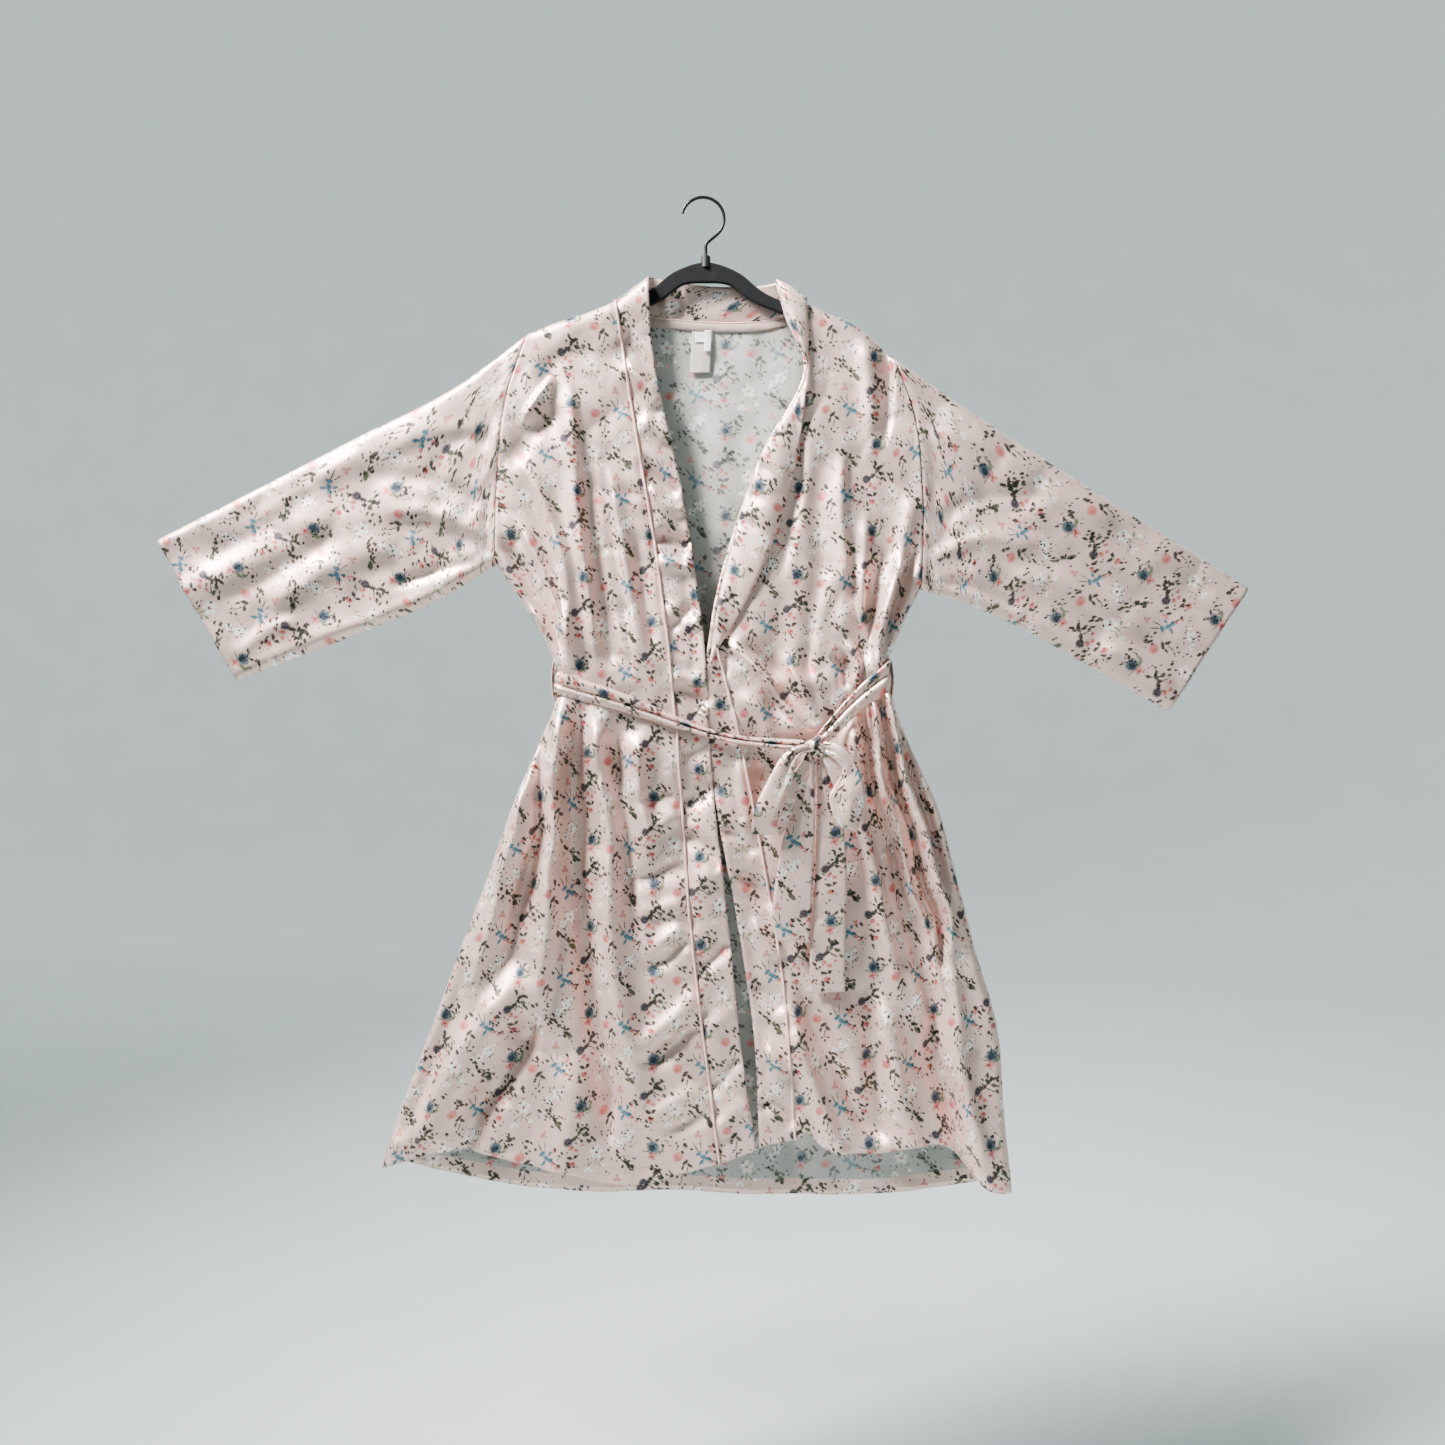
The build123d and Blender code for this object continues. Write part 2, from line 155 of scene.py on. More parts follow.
def spaced(points, count):
    """count points evenly spaced along straight runs."""
    points = np.asarray(points, float)
    length = places_along(points)
    at = np.linspace(0, length[-1], count)
    return np.column_stack([np.interp(at, length, points[:, k]) for k in range(points.shape[1])])


def smooth(points, count):
    """count points evenly spaced along a smooth curve through the given ones."""
    points = np.asarray(points, float)
    if len(points) == 2:
        return spaced(points, count)
    length = places_along(points)
    dense = hermite(length, points, np.linspace(0, length[-1], 24 * len(points)))
    return spaced(dense, count)


def chained(*lines):
    """Smooth curves one after the other, with a corner where they meet."""
    return np.concatenate([smooth(line, 60) for line in lines])


def length_of(points):
    return float(np.linalg.norm(np.diff(np.asarray(points, float), axis=0), axis=1).sum())


def patch(top, bottom, left, right, columns, rows):
    """A grid of rows by columns points that fills the space between four edges."""
    top, bottom = spaced(top, columns), spaced(bottom, columns)
    left, right = spaced(left, rows), spaced(right, rows)
    u = np.linspace(0, 1, columns)[None, :, None]
    v = np.linspace(0, 1, rows)[:, None, None]
    across = (1 - u) * left[:, None] + u * right[:, None]
    down = (1 - v) * top[None] + v * bottom[None]
    corners = (1 - u) * (1 - v) * top[0] + u * (1 - v) * top[-1]
    corners = corners + (1 - u) * v * bottom[0] + u * v * bottom[-1]
    return across + down - corners


def noise(u, v, seed):
    """Smooth noise between -1 and 1, over cells of one unit."""
    table = np.random.default_rng(seed).uniform(-1, 1, (NOISE_CELLS, NOISE_CELLS))
    i, j = np.floor(u).astype(int), np.floor(v).astype(int)
    fu, fv = eased(u - i), eased(v - j)
    i_next, j_next = (i + 1) % NOISE_CELLS, (j + 1) % NOISE_CELLS
    i, j = i % NOISE_CELLS, j % NOISE_CELLS
    low = table[i, j] * (1 - fu) + table[i_next, j] * fu
    high = table[i, j_next] * (1 - fu) + table[i_next, j_next] * fu
    return low * (1 - fv) + high * fv


def from_line(xz, line):
    """Distance of each point from a line, positive to the right of its direction, and the place along it."""
    flat = xz.reshape(-1, 2)
    a, b = line[:-1], line[1:]
    run = b - a
    lengths = np.linalg.norm(run, axis=1)
    starts = np.r_[0, np.cumsum(lengths)[:-1]]
    best, signed, along = np.full(len(flat), 1e9), np.zeros(len(flat)), np.zeros(len(flat))
    for k in range(len(run)):
        to = flat - a[k]
        t = np.clip(to @ run[k] / lengths[k] ** 2, 0, 1)
        gap = to - t[:, None] * run[k]
        distance = np.hypot(gap[:, 0], gap[:, 1])
        nearer = distance < best
        side = np.sign(run[k, 1] * to[:, 0] - run[k, 0] * to[:, 1])
        best = np.where(nearer, distance, best)
        signed = np.where(nearer, distance * side, signed)
        along = np.where(nearer, starts[k] + t * lengths[k], along)
    shape = xz.shape[:-1]
    return signed.reshape(shape), (along / lengths.sum()).reshape(shape)


# ---------------------------------------------------------------- folds

def fold(points, height, width, lean=0.0, fades=(0.2, 0.2)):
    """A ridge, or a valley where height is negative, along a line. A lean makes one flank steeper."""
    return smooth(points, 14), height, width, lean, fades


WANDER_CELL = 46  # over this distance the folds wander
WANDER = 4.5  # by as much as this


def relief(xz, folds):
    """The height of all the folds together, each of which wanders and swells a little along its way."""
    total = np.zeros(xz.shape[:-1])
    x, z = xz[..., 0] / WANDER_CELL, xz[..., 1] / WANDER_CELL
    xz = xz + WANDER * np.stack([noise(x, z, 601), noise(x, z, 602)], -1)
    for line, height, width, lean, fades in folds:
        reach = 4 * width
        low, high = line.min(0) - reach, line.max(0) + reach
        near = ((xz >= low) & (xz <= high)).all(-1)
        if not near.any():
            continue
        distance, along = from_line(xz[near], line)
        flank = width * np.where(distance > 0, 1 + lean, 1 - lean)
        fade = eased(along / fades[0]) * eased((1 - along) / fades[1])
        total[near] += height * fade * bell(distance, 0, flank)
    return total * (1 + 0.3 * noise(1.3 * x, z, 603))


UPPER_LEFT_FOLDS = [
    fold([(-196, -262), (-162, -310), (-145, -367), (-136, -436), (-131, -482)], 4.5, 7, -0.4),
    fold([(-206, -340), (-176, -387), (-149, -442), (-140, -478)], -4.5, 5, 0.3),
    fold([(-190, -318), (-165, -372), (-145, -430), (-128, -484)], 3.5, 5, -0.3),
    fold([(-132, -180), (-127, -291), (-117, -387), (-106, -490)], 3.5, 9, 0.5),
    fold([(-118, -240), (-112, -330), (-98, -430), (-90, -500)], -2.5, 7),
    fold([(-100, -256), (-83, -340), (-73, -415), (-66, -500)], 3.0, 7, -0.5),
    fold([(-190, -240), (-164, -203), (-147, -180)], 3.0, 6, 0.3),
    fold([(-200, -285), (-168, -240), (-140, -215)], -2.0, 9),
    fold([(-158, -150), (-150, -200), (-158, -262)], -1.5, 12),
    fold([(-70, -330), (-60, -400), (-52, -470)], -2.5, 6),
    fold([(-176, -415), (-152, -450), (-146, -486)], 3.0, 3.5),
]
LEFT_BAND_FOLDS = [
    fold([(-84, -138), (-66, -158), (-40, -190)], -5.5, 7, 0.4, (0.1, 0.1)),
    fold([(-82, -160), (-62, -186), (-42, -214)], 3.0, 8, 0.0, (0.3, 0.1)),
    fold([(-68, -226), (-52, -232), (-32, -246)], 2.5, 9, 0.0, (0.3, 0.1)),
    fold([(-62, -262), (-47, -280), (-22, -300)], -4.5, 5.5, 0.4, (0.3, 0.1)),
    fold([(-56, -290), (-40, -306), (-18, -320)], 3.0, 7, 0.0, (0.3, 0.1)),
    fold([(-50, -344), (-30, -352), (-10, -360)], -6.5, 7, -0.3, (0.25, 0.05)),
    fold([(-48, -372), (-30, -376), (-8, -378)], 3.5, 6, 0.3, (0.25, 0.05)),
    fold([(-42, -408), (-26, -424), (-4, -440)], 2.5, 8, 0.0, (0.3, 0.1)),
    fold([(-38, -440), (-24, -428), (-12, -412)], -3.0, 6, 0.0, (0.3, 0.2)),
    fold([(-34, -492), (-18, -500), (4, -516)], -3.5, 7, 0.0, (0.3, 0.1)),
]
LEFT_SKIRT_FOLDS = [
    fold([(-124, -512), (-125, -624), (-123, -697), (-117, -752), (-106, -843), (-88, -975)],
         -8.5, 9, 0.35, (0.1, 0.15)),
    fold([(-104, -515), (-98, -620), (-92, -720), (-78, -850), (-60, -960)], 5.5, 11, -0.3, (0.1, 0.3)),
    fold([(-158, -515), (-163, -600), (-172, -664), (-190, -744), (-214, -820)], -6.5, 8, -0.3, (0.1, 0.4)),
    fold([(-141, -512), (-146, -610), (-152, -700), (-160, -800), (-168, -900)], 6.0, 10, 0.3, (0.1, 0.4)),
    fold([(-176, -540), (-190, -640), (-212, -740), (-240, -850)], 4.0, 8, 0.2, (0.2, 0.4)),
    fold([(-84, -535), (-82, -624), (-68, -715), (-55, -790)], -5.0, 8, 0.4, (0.15, 0.4)),
    fold([(-66, -540), (-62, -600), (-52, -690)], 4.0, 7, 0.0, (0.15, 0.4)),
    fold([(-186, -770), (-205, -815), (-245, -875), (-290, -960)], 9.0, 18, -0.35, (0.3, 0.1)),
    fold([(-160, -800), (-180, -860), (-222, -930), (-245, -985)], -7.5, 14, 0.2, (0.3, 0.1)),
    fold([(-232, -760), (-262, -850), (-300, -960)], -4.0, 12, 0.2, (0.3, 0.1)),
    fold([(-130, -850), (-134, -920), (-150, -995)], 5.0, 13, 0.0, (0.4, 0.05)),
    fold([(-61, -769), (-40, -756), (-16, -735)], 2.6, 8, 0.3, (0.6, 0.1)),
    fold([(-68, -784), (-39, -774), (-12, -748)], -3.2, 7, 0.0, (0.6, 0.1)),
    fold([(-104, -862), (-65, -855), (-30, -829), (-4, -799)], 3.2, 11, 0.3, (0.6, 0.1)),
    fold([(-90, -880), (-48, -868), (-6, -834)], -3.2, 9, 0.0, (0.6, 0.1)),
    fold([(-68, -947), (-39, -928), (0, -894)], 3.0, 12, 0.3, (0.6, 0.1)),
    fold([(-54, -958), (-24, -942), (6, -912)], -2.8, 9, 0.0, (0.6, 0.1)),
    fold([(-26, -616), (0, -606), (18, -590)], -2.6, 10, 0.0, (0.3, 0.1)),
    fold([(-16, -700), (6, -684), (26, -672)], 2.0, 12, 0.0, (0.2, 0.05)),
    fold([(-3, -784), (14, -770), (28, -757)], -2.8, 8, 0.0, (0.2, 0.05)),
    fold([(2, -842), (18, -832), (36, -817)], 2.4, 11, 0.0, (0.2, 0.05)),
    fold([(2, -902), (20, -890), (40, -872)], -2.8, 9, 0.0, (0.2, 0.05)),
    fold([(12, -940), (30, -928), (48, -915)], 2.2, 10, 0.0, (0.2, 0.05)),
    fold([(-78, -616), (-52, -610), (-26, -602)], -2.8, 7, 0.4, (0.6, 0.1)),
    fold([(-72, -644), (-50, -640), (-22, -624)], 2.2, 8, 0.0, (0.6, 0.1)),
    fold([(-84, -694), (-52, -686), (-20, -668)], -3.0, 8, 0.4, (0.6, 0.1)),
    fold([(-78, -722), (-48, -724), (-16, -712)], 2.2, 9, 0.0, (0.6, 0.1)),
    fold([(-20, -640), (2, -654), (20, -680)], -3.0, 7, 0.4, (0.15, 0.1)),
    fold([(-22, -566), (0, -560), (14, -550)], -2.6, 7, 0.3, (0.15, 0.1)),
]
UPPER_RIGHT_FOLDS = [
    fold([(176, -138), (190, -165), (190, -225), (184, -270)], -3.5, 5, 0.5, (0.1, 0.4)),
    fold([(162, -142), (172, -200), (170, -290)], 2.5, 9, 0.0, (0.2, 0.4)),
    fold([(222, -352), (205, -395), (189, -432), (177, -482)], -5.0, 5, 0.3),
    fold([(208, -360), (192, -400), (178, -455), (172, -490)], 5.0, 5.5, 0.2),
    fold([(184, -356), (172, -410), (166, -460), (166, -502)], -4.0, 5, 0.0),
    fold([(168, -310), (162, -400), (162, -470), (164, -510)], 3.5, 5.5, 0.2),
    fold([(151, -380), (159, -425), (161, -470), (160, -515)], -4.5, 4.5, 0.4),
    fold([(138, -450), (151, -462), (157, -484), (156, -505)], 4.5, 5, 0.4),
    fold([(128, -462), (142, -478), (146, -505)], -4.5, 5.5, 0.0),
    fold([(145, -255), (143, -346), (146, -405)], 3.0, 7, 0.4),
    fold([(120, -260), (116, -350), (122, -430)], -2.0, 10),
    fold([(212, -300), (204, -350), (196, -390)], 2.0, 7),
    fold([(98, -210), (96, -300), (70, -400)], -2.5, 10, 0.5, (0.2, 0.3)),
    fold([(20, -456), (50, -478), (80, -512), (110, -552)], 5.5, 6.5, -0.4, (0.15, 0.1)),
    fold([(36, -452), (70, -480), (96, -515), (114, -545)], -5.0, 8, 0.0, (0.2, 0.1)),
    fold([(84, -470), (104, -505), (116, -545)], 3.0, 7, 0.0, (0.3, 0.1)),
    fold([(30, -500), (62, -528), (96, -550)], 3.0, 8, 0.0, (0.3, 0.2)),
]
RIGHT_SKIRT_FOLDS = [
    fold([(160, -508), (167, -579), (183, -635), (204, -728), (219, -783), (240, -880), (264, -968)],
         -10.0, 5.5, -0.4, (0.04, 0.2)),
    fold([(150, -525), (152, -590), (166, -660), (188, -745), (208, -840)], 6.5, 7, 0.3, (0.08, 0.3)),
    fold([(169, -508), (178, -579), (194, -640), (211, -705), (226, -770)], 8.0, 4.5, 0.3, (0.04, 0.3)),
    fold([(176, -502), (187, -560), (204, -620), (223, -690), (238, -760), (250, -840)],
         -9.5, 4.2, -0.3, (0.04, 0.3)),
    fold([(183, -500), (197, -560), (218, -630), (240, -700), (254, -780)], 7.5, 5, 0.2, (0.04, 0.3)),
    fold([(190, -508), (209, -570), (232, -640), (250, -720)], -7.0, 4.2, 0.0, (0.05, 0.3)),
    fold([(140, -560), (138, -640), (150, -720)], -5.5, 9, 0.0, (0.15, 0.35)),
    fold([(232, -720), (248, -800), (266, -900), (280, -990)], 5.5, 11, 0.3, (0.3, 0.1)),
    fold([(222, -800), (236, -880), (252, -940), (277, -1004)], -6.0, 8, 0.3, (0.3, 0.05)),
    fold([(180, -800), (196, -880), (214, -970)], 5.5, 13, 0.2, (0.3, 0.1)),
    fold([(160, -780), (172, -870), (180, -965)], -5.0, 11, 0.0, (0.3, 0.1)),
    fold([(90, -815), (104, -870), (124, -930), (150, -972)], 5.5, 9, 0.3, (0.25, 0.1)),
    fold([(94, -782), (116, -840), (146, -905), (176, -960)], -5.0, 9, 0.0, (0.25, 0.15)),
    fold([(92, -740), (118, -800), (150, -850)], 4.0, 9, 0.2, (0.25, 0.3)),
    fold([(60, -610), (84, -640), (112, -650)], 3.5, 9, 0.0, (0.2, 0.4)),
    fold([(52, -570), (72, -600), (104, -606)], -3.5, 8, 0.0, (0.2, 0.4)),
    fold([(16, -588), (30, -572), (46, -560)], -3.2, 6, 0.4, (0.1, 0.1)),
    fold([(24, -640), (40, -652), (56, -670)], -2.8, 7, 0.0, (0.1, 0.1)),
    fold([(40, -690), (56, -700), (74, -720)], -4.0, 8, 0.0, (0.1, 0.1)),
    fold([(44, -740), (60, -748), (76, -770)], 4.0, 8, 0.0, (0.1, 0.1)),
    fold([(50, -800), (66, -806), (84, -826)], -4.0, 8, 0.0, (0.1, 0.1)),
    fold([(54, -860), (70, -866), (88, -886)], 4.0, 9, 0.0, (0.1, 0.1)),
    fold([(58, -915), (74, -920), (90, -940)], -3.5, 8, 0.0, (0.1, 0.1)),
]
BACK_FOLDS = [
    fold([(-60, -140), (-80, -300), (-96, -470)], 4.0, 14, 0.3),
    fold([(20, -135), (16, -300), (12, -470)], -3.0, 16),
    fold([(110, -140), (120, -300), (128, -470)], 4.0, 13, -0.3),
    fold([(-196, -320), (-160, -390), (-128, -480)], 5.0, 8),
    fold([(-204, -370), (-172, -420), (-142, -482)], -5.0, 6),
    fold([(214, -330), (184, -400), (160, -480)], 5.0, 8),
    fold([(214, -390), (190, -435), (174, -484)], -5.0, 6),
    fold([(-120, -505), (-150, -640), (-190, -800), (-225, -990)], 9.0, 16, 0.3, (0.06, 0.1)),
    fold([(-84, -505), (-100, -640), (-124, -800), (-150, -1000)], -8.0, 13, 0.0, (0.06, 0.1)),
    fold([(-44, -505), (-48, -640), (-56, -800), (-70, -1010)], 8.0, 16, -0.2, (0.06, 0.1)),
    fold([(0, -505), (4, -640), (8, -800), (10, -1012)], -7.0, 14, 0.0, (0.06, 0.1)),
    fold([(44, -505), (58, -640), (74, -800), (88, -1012)], 8.0, 15, 0.2, (0.06, 0.1)),
    fold([(88, -505), (112, -640), (140, -800), (164, -1010)], -8.0, 13, 0.0, (0.06, 0.1)),
    fold([(124, -505), (158, -640), (200, -800), (236, -1008)], 9.0, 16, -0.2, (0.06, 0.1)),
    fold([(156, -505), (196, -640), (240, -800), (282, -1004)], -6.0, 10, 0.0, (0.06, 0.1)),
]

SILHOUETTES = [
    smooth(SIDE_LEFT, 40), smooth(SIDE_RIGHT, 40), smooth(SHOULDER_LEFT, 16), smooth(SHOULDER_LEFT_TOP, 8),
    smooth(SHOULDER_RIGHT, 22),
]


def half_depth(z):
    """Half the depth of the body, from front to back, at each height."""
    return np.interp(-z, -LEVELS[:, 0], LEVELS[:, 3])


def turned(xz):
    """0 at the sides and shoulders, where the cloth turns to the back, and 1 away from them."""
    distance = np.full(xz.shape[:-1], 1e9)
    for line in SILHOUETTES:
        distance = np.minimum(distance, np.abs(from_line(xz, line)[0]))
    return rounded(distance)


BELT_CURVE = smooth(BELT_LINE, 30)
PIPING_LEFT_CURVE = smooth(PIPING_LEFT, 30)
PIPING_RIGHT_CURVE = smooth(PIPING_RIGHT, 24)
BELT_PRESS = 5.0  # how far the belt draws the cloth in
FRONT_LIFT = 1.5  # of the left front over the right one
DEEPEST = 38.0  # that any fold of the body reaches
BOW_ROOM = 8.5  # less than that, where the tails of the bow lie and swing
FOLD_DEPTH = 2.2  # by which the folds of the fronts are deepened
EASING = 2.5  # over which a depth slows down before its limit


def kept_between(value, low, high):
    """Eases a depth off as it nears its limits."""
    value = low + EASING * np.logaddexp(0, (value - low) / EASING)
    return high - EASING * np.logaddexp(0, (high - value) / EASING)


def wrinkles(xz, seed):
    """The fine wrinkles of thin satin, and a few sharper dints."""
    x, z = xz[..., 0], xz[..., 1]
    fine = noise(x / 21, z / 30, seed + 3) * 0.9 + noise(x / 11, z / 15, seed + 8) * 0.35
    slanting = noise((x + z) / 26, (x - z) / 44, seed + 4) * 0.9
    dints = -2.2 * (1 - np.abs(noise((x - 0.6 * z) / 70, (z + 0.4 * x) / 60, seed + 6))) ** 4
    return fine + slanting + dints


def gathers(xz, seed):
    """Small folds that fan out from the waist, over the fine wrinkles."""
    x, z = xz[..., 0], xz[..., 1]
    left = np.interp(-z, -LEVELS[:, 0], LEVELS[:, 1])
    right = np.interp(-z, -LEVELS[:, 0], LEVELS[:, 2])
    across = (x - left) / (right - left)
    skirt = np.exp(-np.clip(-500 - z, 0, None) / 230) * eased((-492 - z) / 16)
    bodice = np.exp(-np.clip(z + 485, 0, None) / 110) * eased((z + 494) / 16)
    folds = noise(across * 17 + 3, z / 160, seed) * 5.0 + noise(across * 31, z / 110, seed + 1) * 2.6
    drape = noise(across * 7, z / 260, seed + 2) * 2.4
    creases = -5.0 * (1 - np.abs(noise(across * 15 + 5, z / 190, seed + 5))) ** 3
    return (folds + creases) * (1.0 * skirt + 0.95 * bodice) + drape + wrinkles(xz, seed)


def seam_relief(xz, line, below, seed):
    """A seam lies in a shallow groove, and draws small puckers in the cloth beside it."""
    distance, along = from_line(xz, line)
    z = xz[..., 1]
    groove = -1.1 * bell(distance, 0, 3.5)
    side = np.where(distance > 0, 0.0, 0.6)
    pucker = noise(along * length_of(line) / 13 + side * 7, side * 9 + 0.5, seed)
    pucker = pucker * np.exp(-np.abs(distance) / 15)
    return groove + pucker * (1.0 + 2.0 * eased((below - z) / 90)) * eased(np.abs(distance) / 4)


def front_depth(xz, folds, seed, piping, below, lift=0.0):
    """How far the front lies towards the viewer. Its seam puckers more below the given height."""
    x, z = xz[..., 0], xz[..., 1]
    pressed = bell(from_line(xz, BELT_CURVE)[0], 0, 13)
    loose = 1 - 0.8 * pressed
    edge = turned(xz)
    under_bow = bell(x, 112, 52, 4) * bell(z, -670, 120, 4)
    shape = FOLD_DEPTH * relief(xz, folds) + gathers(xz, seed) + seam_relief(xz, piping, below, seed + 7)
    shape = shape * (1 - 0.65 * under_bow)
    swing = bell(x, 140, 95, 8) * bell(z, -690, 135, 8)
    depth = half_depth(z) - 2.0 + lift - 0.5 * BOW_ROOM * swing
    folded = depth + shape * loose * (0.35 + 0.65 * edge) - BELT_PRESS * pressed
    lowest = depth * (0.4 - 0.18 * eased((-250 - z) / 100))  # clear of the hanger at the top
    return kept_between(folded, lowest, DEEPEST - BOW_ROOM * swing) * edge


# ---------------------------------------------------------------- meshes

def add_object(name, data):
    obj = bpy.data.objects.new(name, data)
    bpy.context.scene.collection.objects.link(obj)
    return obj


def build_mesh(name, points, faces, uv, materials, slots=None):
    """A smooth mesh from points in millimetres. slots gives the material of each face, if not the first."""
    mesh = bpy.data.meshes.new(name)
    mesh.from_pydata((np.asarray(points) * MM).tolist(), [], faces)
    layer = mesh.uv_layers.new(name="cloth")
    uv = np.asarray(uv)
    if uv.ndim == 2:  # given for each point rather than for each corner of each face
        corners = np.zeros(len(mesh.loops), np.int32)
        mesh.loops.foreach_get("vertex_index", corners)
        uv = uv[corners]
    layer.data.foreach_set("uv", (uv * MM).astype(np.float32).ravel())
    for material in materials:
        mesh.materials.append(material)
    if slots is not None:
        mesh.polygons.foreach_set("material_index", np.asarray(slots, np.int32))
    mesh.polygons.foreach_set("use_smooth", np.ones(len(faces), bool))
    mesh.update()
    return add_object(name, mesh)


def grid_normals(points, closed):
    if closed:
        wrapped = np.concatenate([points[:, -1:], points, points[:, :1]], axis=1)
        across = (wrapped[:, 2:] - wrapped[:, :-2]) / 2
    else:
        across = np.gradient(points, axis=1)
    down = np.gradient(points, axis=0)
    normals = np.cross(down, across)
    return normals / np.maximum(np.linalg.norm(normals, axis=-1, keepdims=True), 1e-9)


def cloth(name, points, uv, materials, outward=(0, -1, 0), closed=False, thickness=CLOTH):
    """A sheet with a right side, a wrong side and an edge, or a tube where it is closed.

    points is rows by columns by 3, in millimetres.
    """
    rows, columns = points.shape[:2]
    normals = grid_normals(points, closed)
    away = points - points.mean(axis=1, keepdims=True) if closed else np.asarray(outward)
    if (normals * away).sum() < 0:
        points, uv, normals = points[:, ::-1], uv[:, ::-1], -normals[:, ::-1]
    inner = points - normals * thickness
    count = rows * columns
    index = np.arange(count).reshape(rows, columns)
    if closed:
        index = np.concatenate([index, index[:, :1]], axis=1)
        uv = np.concatenate([uv, 2 * uv[:, -1:] - uv[:, -2:-1]], axis=1)
    a, b, c, d = index[:-1, :-1], index[1:, :-1], index[1:, 1:], index[:-1, 1:]
    out_faces = np.stack([a, b, c, d], -1).reshape(-1, 4)
    out_uv = np.stack([uv[:-1, :-1], uv[1:, :-1], uv[1:, 1:], uv[:-1, 1:]], 2).reshape(-1, 4, 2)
    faces = [out_faces, out_faces[:, ::-1] + count]
    corner_uv = [out_uv, out_uv[:, ::-1]]
    edges = [(index[0], uv[0], 1), (index[-1], uv[-1], -1)]
    if not closed:
        edges += [(index[:, 0], uv[:, 0], -1), (index[:, -1], uv[:, -1], 1)]
    for line, line_uv, turn in edges:
        rim = np.stack([line[:-1], line[1:], line[1:] + count, line[:-1] + count], -1)
        rim_uv = np.stack([line_uv[:-1], line_uv[1:], line_uv[1:], line_uv[:-1]], 1)
        faces.append(rim[:, ::turn])
        corner_uv.append(rim_uv[:, ::turn])
    slots = np.zeros(sum(len(part) for part in faces))
    slots[len(out_faces):2 * len(out_faces)] = 1
    vertices = np.concatenate([points.reshape(-1, 3), inner.reshape(-1, 3)])
    faces, corner_uv = np.concatenate(faces).tolist(), np.concatenate(corner_uv)
    return build_mesh(name, vertices, faces, corner_uv, materials, slots)


EVEN_ROWS = 20  # above and below, over which the stretch of the cloth is evened out


def cloth_uv(points, anchor=0, shift=(0, 0)):
    """Flat cloth coordinates: the distance along the cloth from one column, and the height."""
    step = np.linalg.norm(np.diff(points, axis=1), axis=-1)
    wide = np.abs(np.diff(points[..., 0], axis=1))
    padded = np.pad(step - wide, ((EVEN_ROWS, EVEN_ROWS), (0, 0)), mode="edge")
    total = np.cumsum(np.pad(padded, ((1, 0), (0, 0))), axis=0)
    step = wide + (total[2 * EVEN_ROWS + 1:] - total[:-2 * EVEN_ROWS - 1]) / (2 * EVEN_ROWS + 1)
    along = np.concatenate([np.zeros((len(points), 1)), np.cumsum(step, axis=1)], axis=1)
    along += (points[:, anchor, 0] - along[:, anchor])[:, None]
    return np.stack([along + shift[0], points[..., 2] + shift[1]], -1)


def ribbon_uv(points, shift=(0, 0)):
    """Cloth coordinates of a strip: distance across it and distance down it."""
    across = np.linalg.norm(np.diff(points, axis=1), axis=-1)
    down = np.linalg.norm(np.diff(points, axis=0), axis=-1).mean(1)
    u = np.concatenate([np.zeros((len(points), 1)), np.cumsum(across, axis=1)], axis=1)
    v = -np.r_[0, np.cumsum(down)][:, None] + np.zeros(points.shape[1])
    return np.stack([u + shift[0], v + shift[1]], -1)


def placed(xz, depth):
    """Points on the front, at depth millimetres towards the viewer."""
    return np.stack([xz[..., 0], -depth, xz[..., 1]], -1)


def counts(width, height, spacing):
    """Columns and rows of mesh points for a piece of cloth."""
    return int(width / spacing) + 2, int(height / spacing) + 2


def tube(name, path, radius, material, sides=8):
    """A round cord of cloth along a line."""
    tangent = np.gradient(path, axis=0)
    tangent /= np.linalg.norm(tangent, axis=1, keepdims=True)
    across = np.cross(tangent, (0, 1, 0))
    across /= np.linalg.norm(across, axis=1, keepdims=True)
    up = np.cross(across, tangent)
    turn = np.linspace(0, 2 * math.pi, sides, endpoint=False)
    ring = np.cos(turn)[None, :, None] * across[:, None] + np.sin(turn)[None, :, None] * up[:, None]
    points = path[:, None] + radius * ring
    index = np.arange(len(path) * sides).reshape(len(path), sides)
    follow = np.roll(index, -1, axis=1)
    faces = np.stack([index[:-1], index[1:], follow[1:], follow[:-1]], -1).reshape(-1, 4).tolist()
    faces += [index[0].tolist(), index[-1][::-1].tolist()]
    uv = np.stack(np.broadcast_arrays(turn[None] * radius, places_along(path)[:, None]), -1).reshape(-1, 2)
    return build_mesh(name, points.reshape(-1, 3), faces, uv, [material])


# ---------------------------------------------------------------- materials

def linear(rgb):
    """Linear colour from one given as 0 to 255 on a screen."""
    return tuple((c / 255 / 12.92) if c < 11 else ((c / 255 + 0.055) / 1.055) ** 2.4 for c in rgb) + (1.0,)


